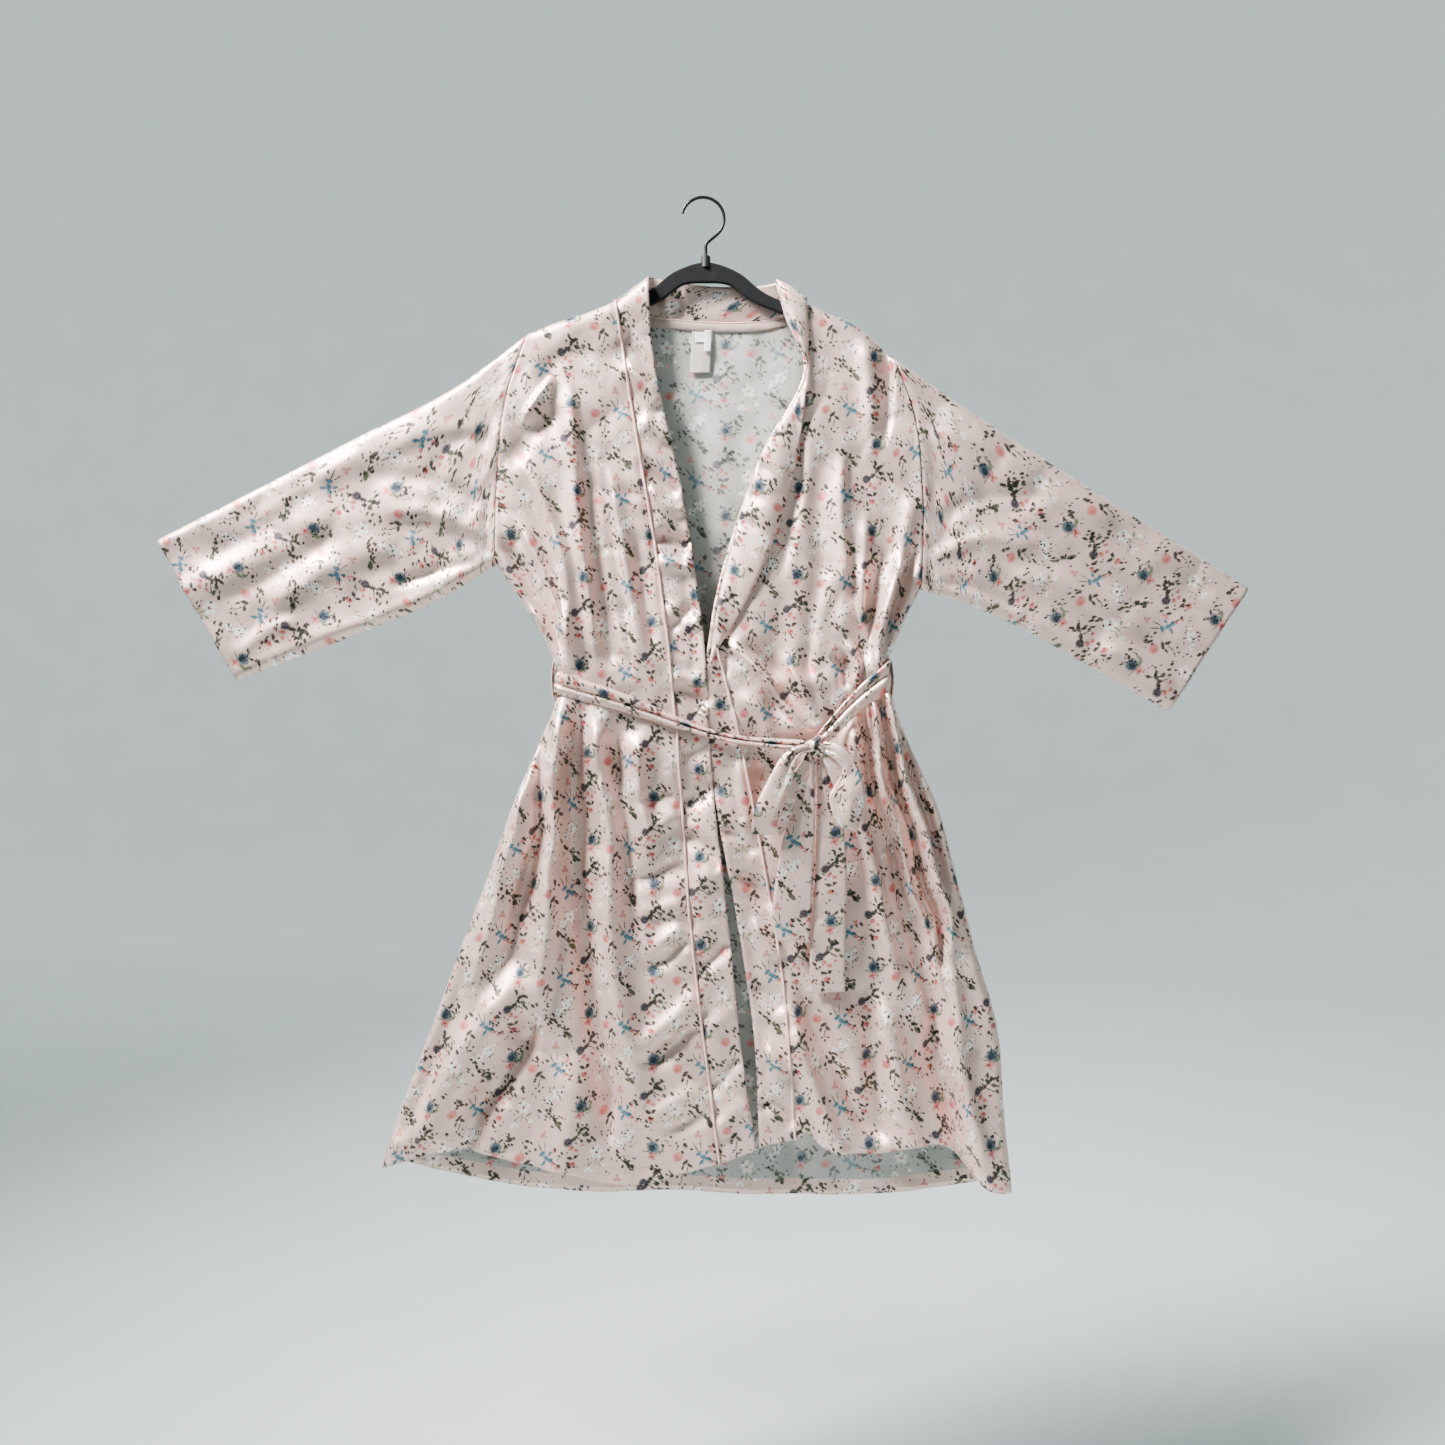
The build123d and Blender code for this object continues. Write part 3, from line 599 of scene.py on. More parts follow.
class Nodes:
    """Adds nodes to a tree in the order in which they are worked out."""

    def __init__(self, tree):
        self.tree = tree

    def add(self, kind, inputs, output=0, **settings):
        node = self.tree.nodes.new(kind)
        for key, value in settings.items():
            setattr(node, key, value)
        self.feed(node, inputs)
        return node.outputs[output]

    def feed(self, node, inputs):
        """Links an input to the output of another node, or sets it to a value."""
        for key, value in inputs.items():
            if isinstance(value, bpy.types.NodeSocket):
                self.tree.links.new(value, node.inputs[key])
            else:
                node.inputs[key].default_value = value

    def math(self, operation, a, b=0.0, c=0.0):
        return self.add("ShaderNodeMath", {0: a, 1: b, 2: c}, operation=operation)

    def vector(self, operation, a, b=(0, 0, 0), output=0):
        return self.add("ShaderNodeVectorMath", {0: a, 1: b}, output, operation=operation)

    def mix(self, factor, a, b):
        inputs = {"Factor": factor, 6: a, 7: b}
        return self.add("ShaderNodeMix", inputs, 2, data_type="RGBA")

    def noise(self, vector, scale, detail=2.0, output=0):
        inputs = {"Vector": vector, "Scale": scale, "Detail": detail}
        return self.add("ShaderNodeTexNoise", inputs, output)

    def range(self, value, low, high, out_low=0.0, out_high=1.0):
        inputs = {0: value, 1: low, 2: high, 3: out_low, 4: out_high}
        return self.add("ShaderNodeMapRange", inputs)

    def bump(self, height, strength, distance=0.0002):
        inputs = {"Height": height, "Strength": strength, "Distance": distance}
        return self.add("ShaderNodeBump", inputs)

    def parts(self, vector):
        """The x, y and z of a vector."""
        node = self.tree.nodes.new("ShaderNodeSeparateXYZ")
        self.tree.links.new(vector, node.inputs[0])
        return node.outputs

    def nearest(self, distances):
        """The smallest of several values."""
        found = distances[0]
        for distance in distances[1:]:
            found = self.math("MINIMUM", found, distance)
        return found


REPEAT_X, REPEAT_Y = 84.0, 88.0  # of the print, across and down
TEAL, TEAL_LIGHT = (52, 112, 132), (112, 166, 180)
POMPOM, POMPOM_DARK, NAVY = (66, 92, 104), (30, 48, 62), (24, 32, 48)
CORAL, CORAL_DARK, ROSE = (204, 110, 100), (160, 58, 56), (216, 128, 124)
LEAF, GREEN, SAGE = (26, 34, 24), (52, 72, 38), (112, 128, 92)
WHITE, SPECK, BUD, PEACH = (252, 248, 244), (20, 14, 20), (206, 128, 120), (238, 190, 166)


def petals(x, y, count, out, length, width, start=0):
    """The petals of a small flower, as ellipses."""
    found = []
    for k in range(count):
        turn = math.radians(start + 360 * k / count)
        found.append((x + out * math.cos(turn), y + out * math.sin(turn), length, width, math.degrees(turn)))
    return found


# The printed motifs, each group with its middle and its layers: colour and ellipses (x, y, half sizes, turn).
# Each ellipse is drawn larger about the nearest of these sprig middles.
SPRIGS = [(0, 0), (2, -26), (-26, -2), (-17, -11), (9, -5), (-29, -48), (-29, -38), (-27, -56), (-5.5, -62),
          (2, -47), (-43, 5), (-52, 0), (-57, 3), (-53, -32), (-51, -45), (-49, -18), (-43, -23), (-50, 9),
          (-52, 14), (-59, -27)]
SPRIG_GROWTH = 1.5
DRAWN_REPEAT = 80  # at which the sprig middles were laid out
MOTIFS = [
    ((-9, -11), [
        (WHITE, petals(2.7, -25, 5, 2.1, 1.9, 1.3) + petals(-2.5, -29.5, 4, 1.5, 1.4, 1.0, 30)
         + [(6.5, -21, 1.3, 1.0, 0)]),
        (ROSE, [(-26, -1.4, 3.5, 3.0, 20), (8, 3, 1.6, 1.2, 40)]),
        (CORAL, [(-26.6, -2.2, 1.7, 1.2, -30), (8, -5, 2.0, 1.0, -30), (11.5, -7.5, 1.5, 0.8, 10),
                 (5.5, 6.5, 1.2, 0.8, 60)]),
        (TEAL, [(-3.4, 2, 2.4, 1.3, 35), (0, -0.4, 2.7, 1.5, -25), (3.2, -1.6, 2.0, 1.3, 15),
                (-1.2, -3.8, 2.3, 1.1, 55), (2.4, 2.8, 1.7, 1.0, 70)]),
        (TEAL_LIGHT, [(-1.4, 0.8, 1.1, 0.6, 0), (3.4, -3.2, 1.2, 0.6, 30)]),
        (LEAF, [(-18, -7.6, 2.8, 1.3, 40), (-14.8, -9.6, 2.4, 1.1, -35), (-19.8, -11.6, 1.9, 0.9, 75),
                (-16.6, -13.5, 3.4, 0.4, 80), (8.6, -4.2, 4.2, 0.35, -32), (12.6, -6, 1.3, 0.8, 20),
                (-5.6, 6, 3.6, 0.4, 125), (-2.2, 7.2, 2.8, 0.35, 95), (-8.4, 4.6, 1.3, 0.8, 150)]),
        (SPECK, [(-16, -19.2, 0.9, 0.9, 0), (-13.8, -16.6, 0.8, 0.8, 0), (-18.4, -17.2, 0.8, 0.7, 0),
                 (2.6, -25, 0.6, 0.6, 0), (5.6, -28.4, 0.6, 0.5, 0), (-0.6, -21.4, 0.5, 0.6, 0),
                 (-2.4, -29.4, 0.5, 0.5, 0)]),
    ]),
    ((-13, -50), [
        (SAGE, [(-29, -45, 5, 0.45, 85), (-25.6, -49.6, 3.4, 0.4, -50), (-33, -49, 3.2, 0.4, 50),
                (-24.4, -42.8, 1.9, 0.9, 30)]),
        (WHITE, petals(-29, -38, 5, 2.5, 2.2, 1.6, 18) + petals(-33.6, -53, 4, 1.4, 1.4, 1.0)
         + [(-22.6, -52.6, 1.6, 1.2, 20)]),
        (PEACH, [(-29, -38, 1.7, 1.5, 0), (-27.6, -56, 1.9, 1.3, -20), (-33.6, -53, 0.8, 0.8, 0)]),
        (BUD, [(-5.5, -61.4, 1.1, 1.5, 0), (-6.8, -63.8, 1.4, 1.0, 20), (-4.2, -63.8, 1.4, 1.0, -20)]),
        (GREEN, [(5.4, -51, 3.2, 1.6, -38), (2.2, -46.4, 2.0, 1.0, -70), (-1.6, -44.4, 1.7, 0.9, 10)]),
        (LEAF, [(0.6, -46.6, 4.0, 0.35, -42), (-3.6, -42.6, 1.5, 0.9, -40), (4.4, -47.2, 1.4, 0.8, 20),
                (-31.8, -35.2, 1.0, 0.6, 40)]),
        (SPECK, [(-29, -38, 0.8, 0.8, 0), (-27.4, -36.4, 0.4, 0.5, 0)]),
    ]),
    ((-50, -17), [
        (SAGE, [(-43.6, 4, 3.2, 1.1, 20), (-41.6, 7, 2.2, 0.9, 70), (-57.4, 3.4, 3.2, 0.4, -15)]),
        (ROSE, petals(-51.6, -0.4, 4, 1.7, 1.8, 1.2, 20)),
        (CORAL, [(-55, -32.2, 1.9, 1.3, 30), (-51.4, -34, 1.7, 1.2, -20), (-52.4, -47.2, 2.5, 1.7, -10),
                 (-47.4, -31, 1.3, 0.9, 0)]),
        (CORAL_DARK, [(-52, -0.8, 0.9, 0.8, 0), (-54.6, -31, 0.9, 0.6, 0), (-51.6, -46.6, 1.2, 0.7, 20)]),
        (GREEN, [(-49, -17.4, 2.6, 1.3, 70), (-43.4, -21.4, 2.4, 1.2, -20), (-40.6, -25.4, 1.9, 1.0, -50)]),
        (LEAF, [(-52.4, -21.6, 3.0, 1.4, 40), (-46.6, -15.6, 2.6, 1.2, 20), (-50.8, -13.2, 2.2, 1.0, 110),
                (-46.4, -24, 4.6, 0.4, -28), (-54.4, -42.6, 2.4, 1.1, -20), (-50.4, -42.2, 1.9, 0.9, 40),
                (-52, 13.6, 3.0, 0.4, 115), (-47.6, 12.8, 1.7, 0.9, 30), (-54.6, 15.4, 1.4, 0.8, 140)]),
        (POMPOM, [(-50.5, 8, 4.1, 3.9, 0)]),
        (POMPOM_DARK, [(-51, 7.4, 2.2, 2.0, 30), (-48.6, 9.6, 0.8, 0.6, 0)]),
        (NAVY, [(-59.6, -26.5, 3.0, 2.9, 0)]),
        (SPECK, [(-51.6, -37.6, 0.8, 0.8, 0), (-57.4, -34.8, 0.7, 0.6, 0), (-48.6, -49.4, 0.5, 0.6, 0)]),
    ]),
]

# Sprays fill the space between the motifs with small leaves and dark specks: circles (x, y, radius) and the
# turn, stretch, size and colour of what is scattered in them
SPRAY_MIDDLE = (-20, -20)
SPRAYS = [
    ([(-49, -19, 9), (-41, 16, 6), (-9, -41, 8), (12, 9, 7), (-34, -24, 6), (6, -54, 7), (-22, 9, 6),
      (-60, -54, 7)], 0.7, (0.15, 0.27, 1), 0.52, LEAF),
    ([(3, -27, 10), (-50, 9, 10), (-17, -26, 6), (15, -11, 6), (-39, -47, 6), (-20, -62, 5)],
     -0.5, (0.28, 0.22, 1), 0.36, SPECK),
]


def grown(x, y, half_x, half_y, turn):
    """An ellipse of a motif at its printed size and place."""
    middle = min(SPRIGS, key=lambda sprig: math.dist(sprig, (x, y)))
    place = [c * REPEAT_X / DRAWN_REPEAT + (p - c) * SPRIG_GROWTH for c, p in zip(middle, (x, y))]
    return place[0], place[1], half_x * SPRIG_GROWTH, half_y * SPRIG_GROWTH, turn


def cell_position(nodes, place, middle):
    """Where a point lies in its cell of a half-drop repeat, from the middle of a group.

    The result is (x*x, x*y, y*y) and (x, y, 1).
    """
    shifted = nodes.vector("SUBTRACT", place, (*middle, 0))
    scaled = nodes.vector("DIVIDE", shifted, (REPEAT_X, REPEAT_Y, 1))
    across, down, _ = nodes.parts(scaled)
    column = nodes.math("FLOOR", nodes.math("ADD", across, 0.5))
    x = nodes.math("MULTIPLY", nodes.math("SUBTRACT", across, column), REPEAT_X)
    drop = nodes.math("ADD", down, nodes.math("FRACT", nodes.math("MULTIPLY", column, 0.5)))
    row = nodes.math("FLOOR", nodes.math("ADD", drop, 0.5))
    y = nodes.math("MULTIPLY", nodes.math("SUBTRACT", drop, row), REPEAT_Y)
    products = [nodes.math("MULTIPLY", *pair) for pair in ((x, x), (x, y), (y, y))]
    squares = nodes.add("ShaderNodeCombineXYZ", dict(enumerate(products)))
    return squares, nodes.add("ShaderNodeCombineXYZ", {0: x, 1: y, 2: 1.0})


def inside_ellipse(nodes, squares, point, x, y, half_x, half_y, turn):
    """The square of the distance from an ellipse's middle, where 1 is its edge."""
    if half_x == half_y:
        near = nodes.math("MULTIPLY", nodes.vector("DISTANCE", point, (x, y, 1), 1), 1 / half_x)
        return nodes.math("MULTIPLY", near, near)
    c, s = math.cos(math.radians(turn)), math.sin(math.radians(turn))
    p, q = half_x**-2, half_y**-2
    xx, xy, yy = p * c * c + q * s * s, 2 * (p - q) * c * s, p * s * s + q * c * c
    rest = (-2 * xx * x - xy * y, -2 * yy * y - xy * x, xx * x * x + xy * x * y + yy * y * y)
    square_part = nodes.vector("DOT_PRODUCT", squares, (xx, xy, yy), 1)
    return nodes.math("ADD", square_part, nodes.vector("DOT_PRODUCT", point, rest, 1))


def print_group():
    """Small flowers, leaves and berries in a half-drop repeat, with the soft edges of a watercolour."""
    group = bpy.data.node_groups.new("floral_print", "ShaderNodeTree")
    for name, kind in (("Place", "Vector"), ("Ground", "Color"), ("Strength", "Float")):
        group.interface.new_socket(name, in_out="INPUT", socket_type="NodeSocket" + kind)
    group.interface.new_socket("Color", in_out="OUTPUT", socket_type="NodeSocketColor")
    nodes = Nodes(group)
    given = group.nodes.new("NodeGroupInput")
    ragged = nodes.noise(given.outputs["Place"], 0.55, 1.0, output=1)
    bend = nodes.vector("SUBTRACT", ragged, (0.5, 0.5, 0.5))
    offset = nodes.vector("MULTIPLY", bend, (2.4, 2.4, 0))
    place = nodes.vector("ADD", given.outputs["Place"], offset)
    wash = nodes.noise(given.outputs["Place"], 0.9, 1.0)
    ink = nodes.math("MULTIPLY", nodes.range(wash, 0.25, 0.55, 0.7, 1.0), given.outputs["Strength"])
    colour = given.outputs["Ground"]
    for middle, layers in MOTIFS:
        squares, point = cell_position(nodes, place, middle)
        for rgb, ellipses in layers:
            nearest = nodes.nearest([
                inside_ellipse(nodes, squares, point, x - middle[0], y - middle[1], *shape)
                for x, y, *shape in (grown(*ellipse) for ellipse in ellipses)])
            mask = nodes.math("MINIMUM", nodes.math("MULTIPLY_ADD", nearest, -1.1, 1.65), 1.0)
            colour = nodes.mix(nodes.math("MULTIPLY", mask, ink), colour, linear(rgb))
    squares, point = cell_position(nodes, place, SPRAY_MIDDLE)
    for circles, turn, stretch, size, rgb in SPRAYS:
        nearest = nodes.nearest([
            inside_ellipse(nodes, squares, point, x - SPRAY_MIDDLE[0], y - SPRAY_MIDDLE[1], radius, radius, 0)
            for x, y, radius in circles])
        inputs = {"Vector": place, "Angle": turn}
        turned_place = nodes.add("ShaderNodeVectorRotate", inputs, rotation_type="Z_AXIS")
        inputs = {"Vector": nodes.vector("MULTIPLY", turned_place, stretch), "Scale": 1.0}
        spots = nodes.add("ShaderNodeTexVoronoi", inputs)
        inside = nodes.math("MULTIPLY_ADD", nearest, -0.25 * size, size)
        mask = nodes.math("MULTIPLY", nodes.math("SUBTRACT", inside, spots), 9.0)
        mask = nodes.math("MINIMUM", nodes.math("MAXIMUM", mask, 0.0), 1.0)
        colour = nodes.mix(nodes.math("MULTIPLY", mask, ink), colour, linear(rgb))
    result = group.nodes.new("NodeGroupOutput")
    group.links.new(colour, result.inputs["Color"])
    return group


def new_material(name):
    """An empty material, its node tree and its shader."""
    material = bpy.data.materials.new(name)
    material.use_nodes = True
    tree = material.node_tree
    tree.nodes.clear()
    output = tree.nodes.new("ShaderNodeOutputMaterial")
    shader = tree.nodes.new("ShaderNodeBsdfPrincipled")
    tree.links.new(shader.outputs[0], output.inputs[0])
    return material, Nodes(tree), shader


def cloth_place(nodes):
    """Cloth coordinates in millimetres."""
    uv = nodes.add("ShaderNodeUVMap", {}, uv_map="cloth")
    return nodes.vector("MULTIPLY", uv, (1000, 1000, 0))


def satin(name, ground, strength, roughness, sheen, specular, metallic=0.0):
    """Polyester satin: a fine sateen weave, slight changes of tone, and a print unless its strength is 0."""
    material, nodes, shader = new_material(name)
    place = cloth_place(nodes)
    tone = nodes.noise(place, 0.02, 3.0)
    base = nodes.mix(tone, linear([c - 5 for c in ground]), linear([c + 5 for c in ground]))
    if strength:
        group = nodes.tree.nodes.new("ShaderNodeGroup")
        group.node_tree = PRINT
        nodes.feed(group, {"Place": place, "Ground": base, "Strength": strength})
        base = group.outputs["Color"]
    threads = nodes.noise(nodes.vector("MULTIPLY", place, (3.2, 0.5, 1)), 1.0, 2.0)
    slub = nodes.noise(nodes.vector("MULTIPLY", place, (0.25, 2.2, 1)), 1.0, 2.0)
    gloss = nodes.range(nodes.noise(place, 0.08, 2.0), 0.3, 0.7, roughness - 0.05, roughness + 0.05)
    height = nodes.math("ADD", threads, nodes.math("MULTIPLY", slub, 0.5))
    nodes.feed(shader, {
        "Base Color": base, "Roughness": gloss, "Normal": nodes.bump(height, 0.16), "Sheen Weight": sheen,
        "Sheen Roughness": 0.4, "Specular IOR Level": specular, "Metallic": metallic})
    return material


def solid_place(nodes, scale=1000):
    """Place in the object: in millimetres, or in metres with a scale of 1."""
    where = nodes.add("ShaderNodeTexCoord", {}, "Object")
    return nodes.vector("MULTIPLY", where, (scale, scale, scale))


def flocking():
    """Short black velvet fibres, with a little dust and some crushed patches."""
    material, nodes, shader = new_material("flocking")
    place = solid_place(nodes)
    nap = nodes.noise(place, 3.0, 3.0)
    crushed = nodes.noise(place, 0.06, 2.0)
    dark = nodes.mix(nap, linear((6, 6, 8)), linear((24, 24, 28)))
    worn = nodes.mix(nodes.range(crushed, 0.55, 0.75, 0.0, 0.35), dark, linear((38, 38, 43)))
    nodes.feed(shader, {
        "Base Color": worn, "Roughness": 0.95, "Sheen Weight": 0.12, "Sheen Roughness": 0.5,
        "Specular IOR Level": 0.15, "Normal": nodes.bump(nap, 0.6, 0.0004)})
    return material


def painted_wire():
    """Black painted steel wire, rubbed to grey where it has hung."""
    material, nodes, shader = new_material("black_wire")
    place = solid_place(nodes)
    speckle = nodes.noise(place, 0.7, 3.0)
    rub = nodes.noise(place, 0.12, 2.0)
    base = nodes.mix(speckle, linear((12, 12, 14)), linear((30, 30, 34)))
    rubbed = nodes.mix(nodes.range(rub, 0.6, 0.72, 0.0, 0.5), base, linear((74, 74, 78)))
    gloss = nodes.range(speckle, 0.3, 0.7, 0.24, 0.42)
    nodes.feed(shader, {
        "Base Color": rubbed, "Roughness": gloss, "Metallic": 0.35, "Normal": nodes.bump(speckle, 0.15)})
    return material


def moulded_plastic():
    """Black plastic with a fine grain."""
    material, nodes, shader = new_material("black_plastic")
    place = solid_place(nodes)
    grain = nodes.noise(place, 2.0, 3.0)
    base = nodes.mix(grain, linear((14, 14, 16)), linear((30, 30, 33)))
    gloss = nodes.range(grain, 0.3, 0.7, 0.42, 0.6)
    nodes.feed(shader, {"Base Color": base, "Roughness": gloss, "Normal": nodes.bump(grain, 0.25)})
    return material


def label_tape(name, tone):
    """Woven polyester tape, with its ribs across it and a little soiling."""
    material, nodes, shader = new_material(name)
    place = cloth_place(nodes)
    inputs = {"Vector": place, "Scale": 0.55, "Distortion": 0.3}
    ribs = nodes.add("ShaderNodeTexWave", inputs, 1, wave_type="BANDS", bands_direction="Y")
    soil = nodes.noise(place, 0.12, 3.0)
    base = nodes.mix(nodes.math("MULTIPLY", ribs, 0.5), linear(tone), linear([c - 14 for c in tone]))
    aged = nodes.mix(nodes.range(soil, 0.4, 0.8, 0.0, 0.3), base, linear([c - 34 for c in tone]))
    nodes.feed(shader, {
        "Base Color": aged, "Roughness": 0.62, "Sheen Weight": 0.15, "Normal": nodes.bump(ribs, 0.3)})
    return material


PRINT = print_group()
# Ground colour, strength of the print, roughness, sheen, specular level and metallic share
RIGHT_SIDE = satin("printed_satin", (233, 199, 189), 1.0, 0.49, 0.08, 0.55, 0.62)
WRONG_SIDE = satin("satin_wrong_side", (188, 185, 179), 0.75, 0.62, 0.15, 0.3)
PLAIN = satin("plain_satin", (236, 200, 193), 0.0, 0.42, 0.08, 0.6, 0.3)
# The binding's own pinkish-brown is darkened further with painted shade, standing in for the hanger's shadow
# on it
BINDING_WITH_PAINTED_SHADE = satin("binding_satin_painted_shade", (196, 168, 160), 0.0, 0.42, 0.2, 0.45)
THREAD = satin("seam_thread", (196, 170, 164), 0.0, 0.5, 0.2, 0.4)
FABRIC = [RIGHT_SIDE, WRONG_SIDE]
DOUBLED = [RIGHT_SIDE, RIGHT_SIDE]


# ---------------------------------------------------------------- body of the gown

LEFT_FOLDS = UPPER_LEFT_FOLDS + LEFT_BAND_FOLDS + LEFT_SKIRT_FOLDS
RIGHT_FOLDS = UPPER_RIGHT_FOLDS + RIGHT_SKIRT_FOLDS
EDGE_LEFT_CURVE = smooth(EDGE_LEFT, 40)
UNDER_GAP = 1.6  # of the right front below the left one


def left_depth(xz):
    """The left front and its band, which lie over the right front."""
    return front_depth(xz, LEFT_FOLDS, 11, PIPING_LEFT_CURVE, -560, FRONT_LIFT)


def right_depth(xz):
    """The right front, tucked below the edge of the left one."""
    depth = front_depth(xz, RIGHT_FOLDS, 31, PIPING_RIGHT_CURVE, -640)
    from_edge = from_line(xz, EDGE_LEFT_CURVE)[0]
    near = (np.abs(from_edge) < 26) & (xz[..., 1] < -440)
    room = left_depth(xz[near]) - UNDER_GAP + 7 * eased(from_edge[near] / 20)
    depth[near] = np.minimum(depth[near], room)
    return depth


def back_depth(xz):
    """How far the back lies from the viewer. Behind the opening of the fronts it falls forwards."""
    x, z = xz[..., 0], xz[..., 1]
    pressed = bell(z, -490, 15)
    edge = turned(xz)
    shape = relief(xz, BACK_FOLDS) + gathers(xz, 71)
    behind_opening = bell(x, 42, 62) * eased((-560 - z) / 120)
    depth = half_depth(z) - 2.5 - 31 * behind_opening
    folded = depth + shape * (1 - 0.8 * pressed) * (0.35 + 0.65 * edge) - BELT_PRESS * pressed
    lowest = 0.4 * depth - 20 * behind_opening
    return kept_between(folded, lowest, DEEPEST) * edge


def seamed(xz, depth):
    """The depth of a sheet, with the outer edges of front and back brought together in their seam."""
    for edge in (np.s_[0], np.s_[:, 0], np.s_[:, -1]):
        depth[edge] = np.where(turned(xz[edge]) < 0.7, 0, depth[edge])
    return depth


def front_sheet(name, top, bottom, left, right, depth, anchor, shift, materials=FABRIC):
    """A piece of the front between its four edges. anchor is the column that the print starts from."""
    width = 0.5 * (length_of(top) + length_of(bottom))
    columns, rows = counts(width, length_of(left), SPACING)
    xz = patch(top, bottom, left, right, columns, rows)
    points = placed(xz, seamed(xz, depth(xz)))
    return cloth(name, points, cloth_uv(points, anchor, shift), materials)


def gown_fronts():
    """The left front, its band and the right front."""
    left = front_sheet(
        "front_panel_left_cloth", chained(SHOULDER_LEFT), chained(HEM_LEFT),
        chained(ARMHOLE_LEFT, SIDE_LEFT), chained(PIPING_LEFT), left_depth, -1, (0, 0))
    left_band = front_sheet(
        "band_left_cloth", chained(SHOULDER_LEFT_TOP), chained(HEM_LEFT_BAND),
        chained(PIPING_LEFT), chained(EDGE_LEFT), left_depth, 0, (31, 17), DOUBLED)
    right = front_sheet(
        "front_panel_right_cloth", chained(SHOULDER_RIGHT), chained(HEM_RIGHT_BAND, HEM_RIGHT),
        chained(EDGE_RIGHT), chained(ARMHOLE_RIGHT, SIDE_RIGHT), right_depth, 0, (12, 40))
    return left, left_band, right


# Small dips in the collar: place along it and across it, and depth
COLLAR_DIPS = [(0.42, 0.1, 3.0), (0.5, 0.15, 3.5), (0.57, 0.1, 2.6), (0.64, 0.2, 3.0), (0.3, 0.3, 2.5)]


def collar():
    """The right band, folded out over the front as a shawl collar, with one twist near its top."""
    rows, columns = 120, 12
    inner, outer = smooth(COLLAR_INNER, rows), smooth(COLLAR_OUTER, rows)
    u, v = grid(columns, rows)
    xz = between(inner[:, None], outer[:, None], u)
    width = np.linalg.norm(outer - inner, axis=1)[:, None]
    loft = 1.0 + (1.2 + 0.13 * width) * np.sin(math.pi * np.clip(u * 0.8, 0, 1)) ** 0.8
    wave = noise(v * 17, u * 1.5, 5) * 1.6 + noise(v * 34, u * 2, 6) * 0.6
    dips = sum(-depth * bell(v, place, 0.012) * bell(u, across, 0.35) for place, across, depth in COLLAR_DIPS)
    depth = right_depth(xz) + loft + (wave + dips) * np.clip(width / 25, 0, 1)
    points = placed(xz, np.maximum(depth, right_depth(xz) + 0.9))
    return cloth("band_right_collar", points, ribbon_uv(points, (20, 9)), DOUBLED)


TURN_UP = 3  # rows of the back at its hem, turned up inside with the right side showing


def back_sheet():
    """The back in one piece, from the neck seam and shoulders to the hem."""
    top = chained(SHOULDER_LEFT, NECK_SEAM, SHOULDER_RIGHT[2:])
    left, right = chained(ARMHOLE_LEFT, SIDE_LEFT), chained(ARMHOLE_RIGHT, SIDE_RIGHT)
    columns, rows = counts(560, 960, BACK_SPACING)
    xz = patch(top, chained(HEM_BACK), left, right, columns, rows)
    points = placed(xz, -seamed(xz, back_depth(xz)))
    obj = cloth("back_panel_cloth", points, cloth_uv(points, columns // 2, (7, 22)), FABRIC, (0, 1, 0))
    inside_end = 2 * (rows - 1) * (columns - 1)
    for face in obj.data.polygons[inside_end - TURN_UP * (columns - 1):inside_end]:
        face.material_index = 0
    return obj


def neck_pieces():
    """The band at the back of the neck, and the piping and binding of its seam."""
    columns, rows = 60, 14
    xz = patch(chained(BAND_TOP), smooth(NECK_SEAM, 90), chained([(-55, -79), (-89, -104)]),
               chained([(74, -86), (106, -104)]), columns, rows)
    u, v = grid(columns, rows)
    arch = np.clip(1 - (2 * u - 1) ** 4, 0, 1) ** 0.5
    crease = -4.5 * bell(u, 0.16 + 0.12 * v, 0.03) + 3 * bell(u, 0.24 + 0.1 * v, 0.04)
    rolls = noise(u * 6 + v * 2, v * 2, 41) * 1.6
    depth = (9.0 - 2.0 * (1 - v)) * arch + (crease + rolls) * arch * np.sin(math.pi * v) ** 0.5
    points = placed(xz, -depth)
    band = cloth("neck_band_cloth", points, ribbon_uv(points, (3, 30)), DOUBLED)

    seam = smooth(NECK_SEAM, 120)[14:-12]
    seam_y = back_depth(seam) - 1.3
    path = np.column_stack([seam[:, 0], seam_y, seam[:, 1] - 0.5])
    piping = tube("neck_piping_cord", path, 1.1, PLAIN)

    width = np.linspace(0, 1, 6)[:, None]
    line = smooth(NECK_SEAM, 120)[16:-14]
    strip = np.stack([line[None, :, 0] + 0 * width, line[None, :, 1] - 1.0 - 9.0 * width], -1)
    strip_depth = back_depth(strip) - 1.8 - 0.8 * np.sin(math.pi * width)
    strip_points = placed(strip, -strip_depth)
    binding = cloth("neck_binding_cloth", strip_points, ribbon_uv(strip_points), [BINDING_WITH_PAINTED_SHADE, BINDING_WITH_PAINTED_SHADE])
    return band, piping, binding


def piping_cord(name, line, depth):
    """A thin cord of satin along a front seam."""
    count = int(length_of(line) / 4)
    path = smooth(line, count)
    along = np.arange(count)
    wander = noise(along / 5.0, 0 * along + 0.5, 53) * 0.5
    path = np.column_stack([path[:, 0] + wander, -depth(path) - 1.7, path[:, 1]])
    return tube(name, path, 1.4, PLAIN)


# ---------------------------------------------------------------- sleeves

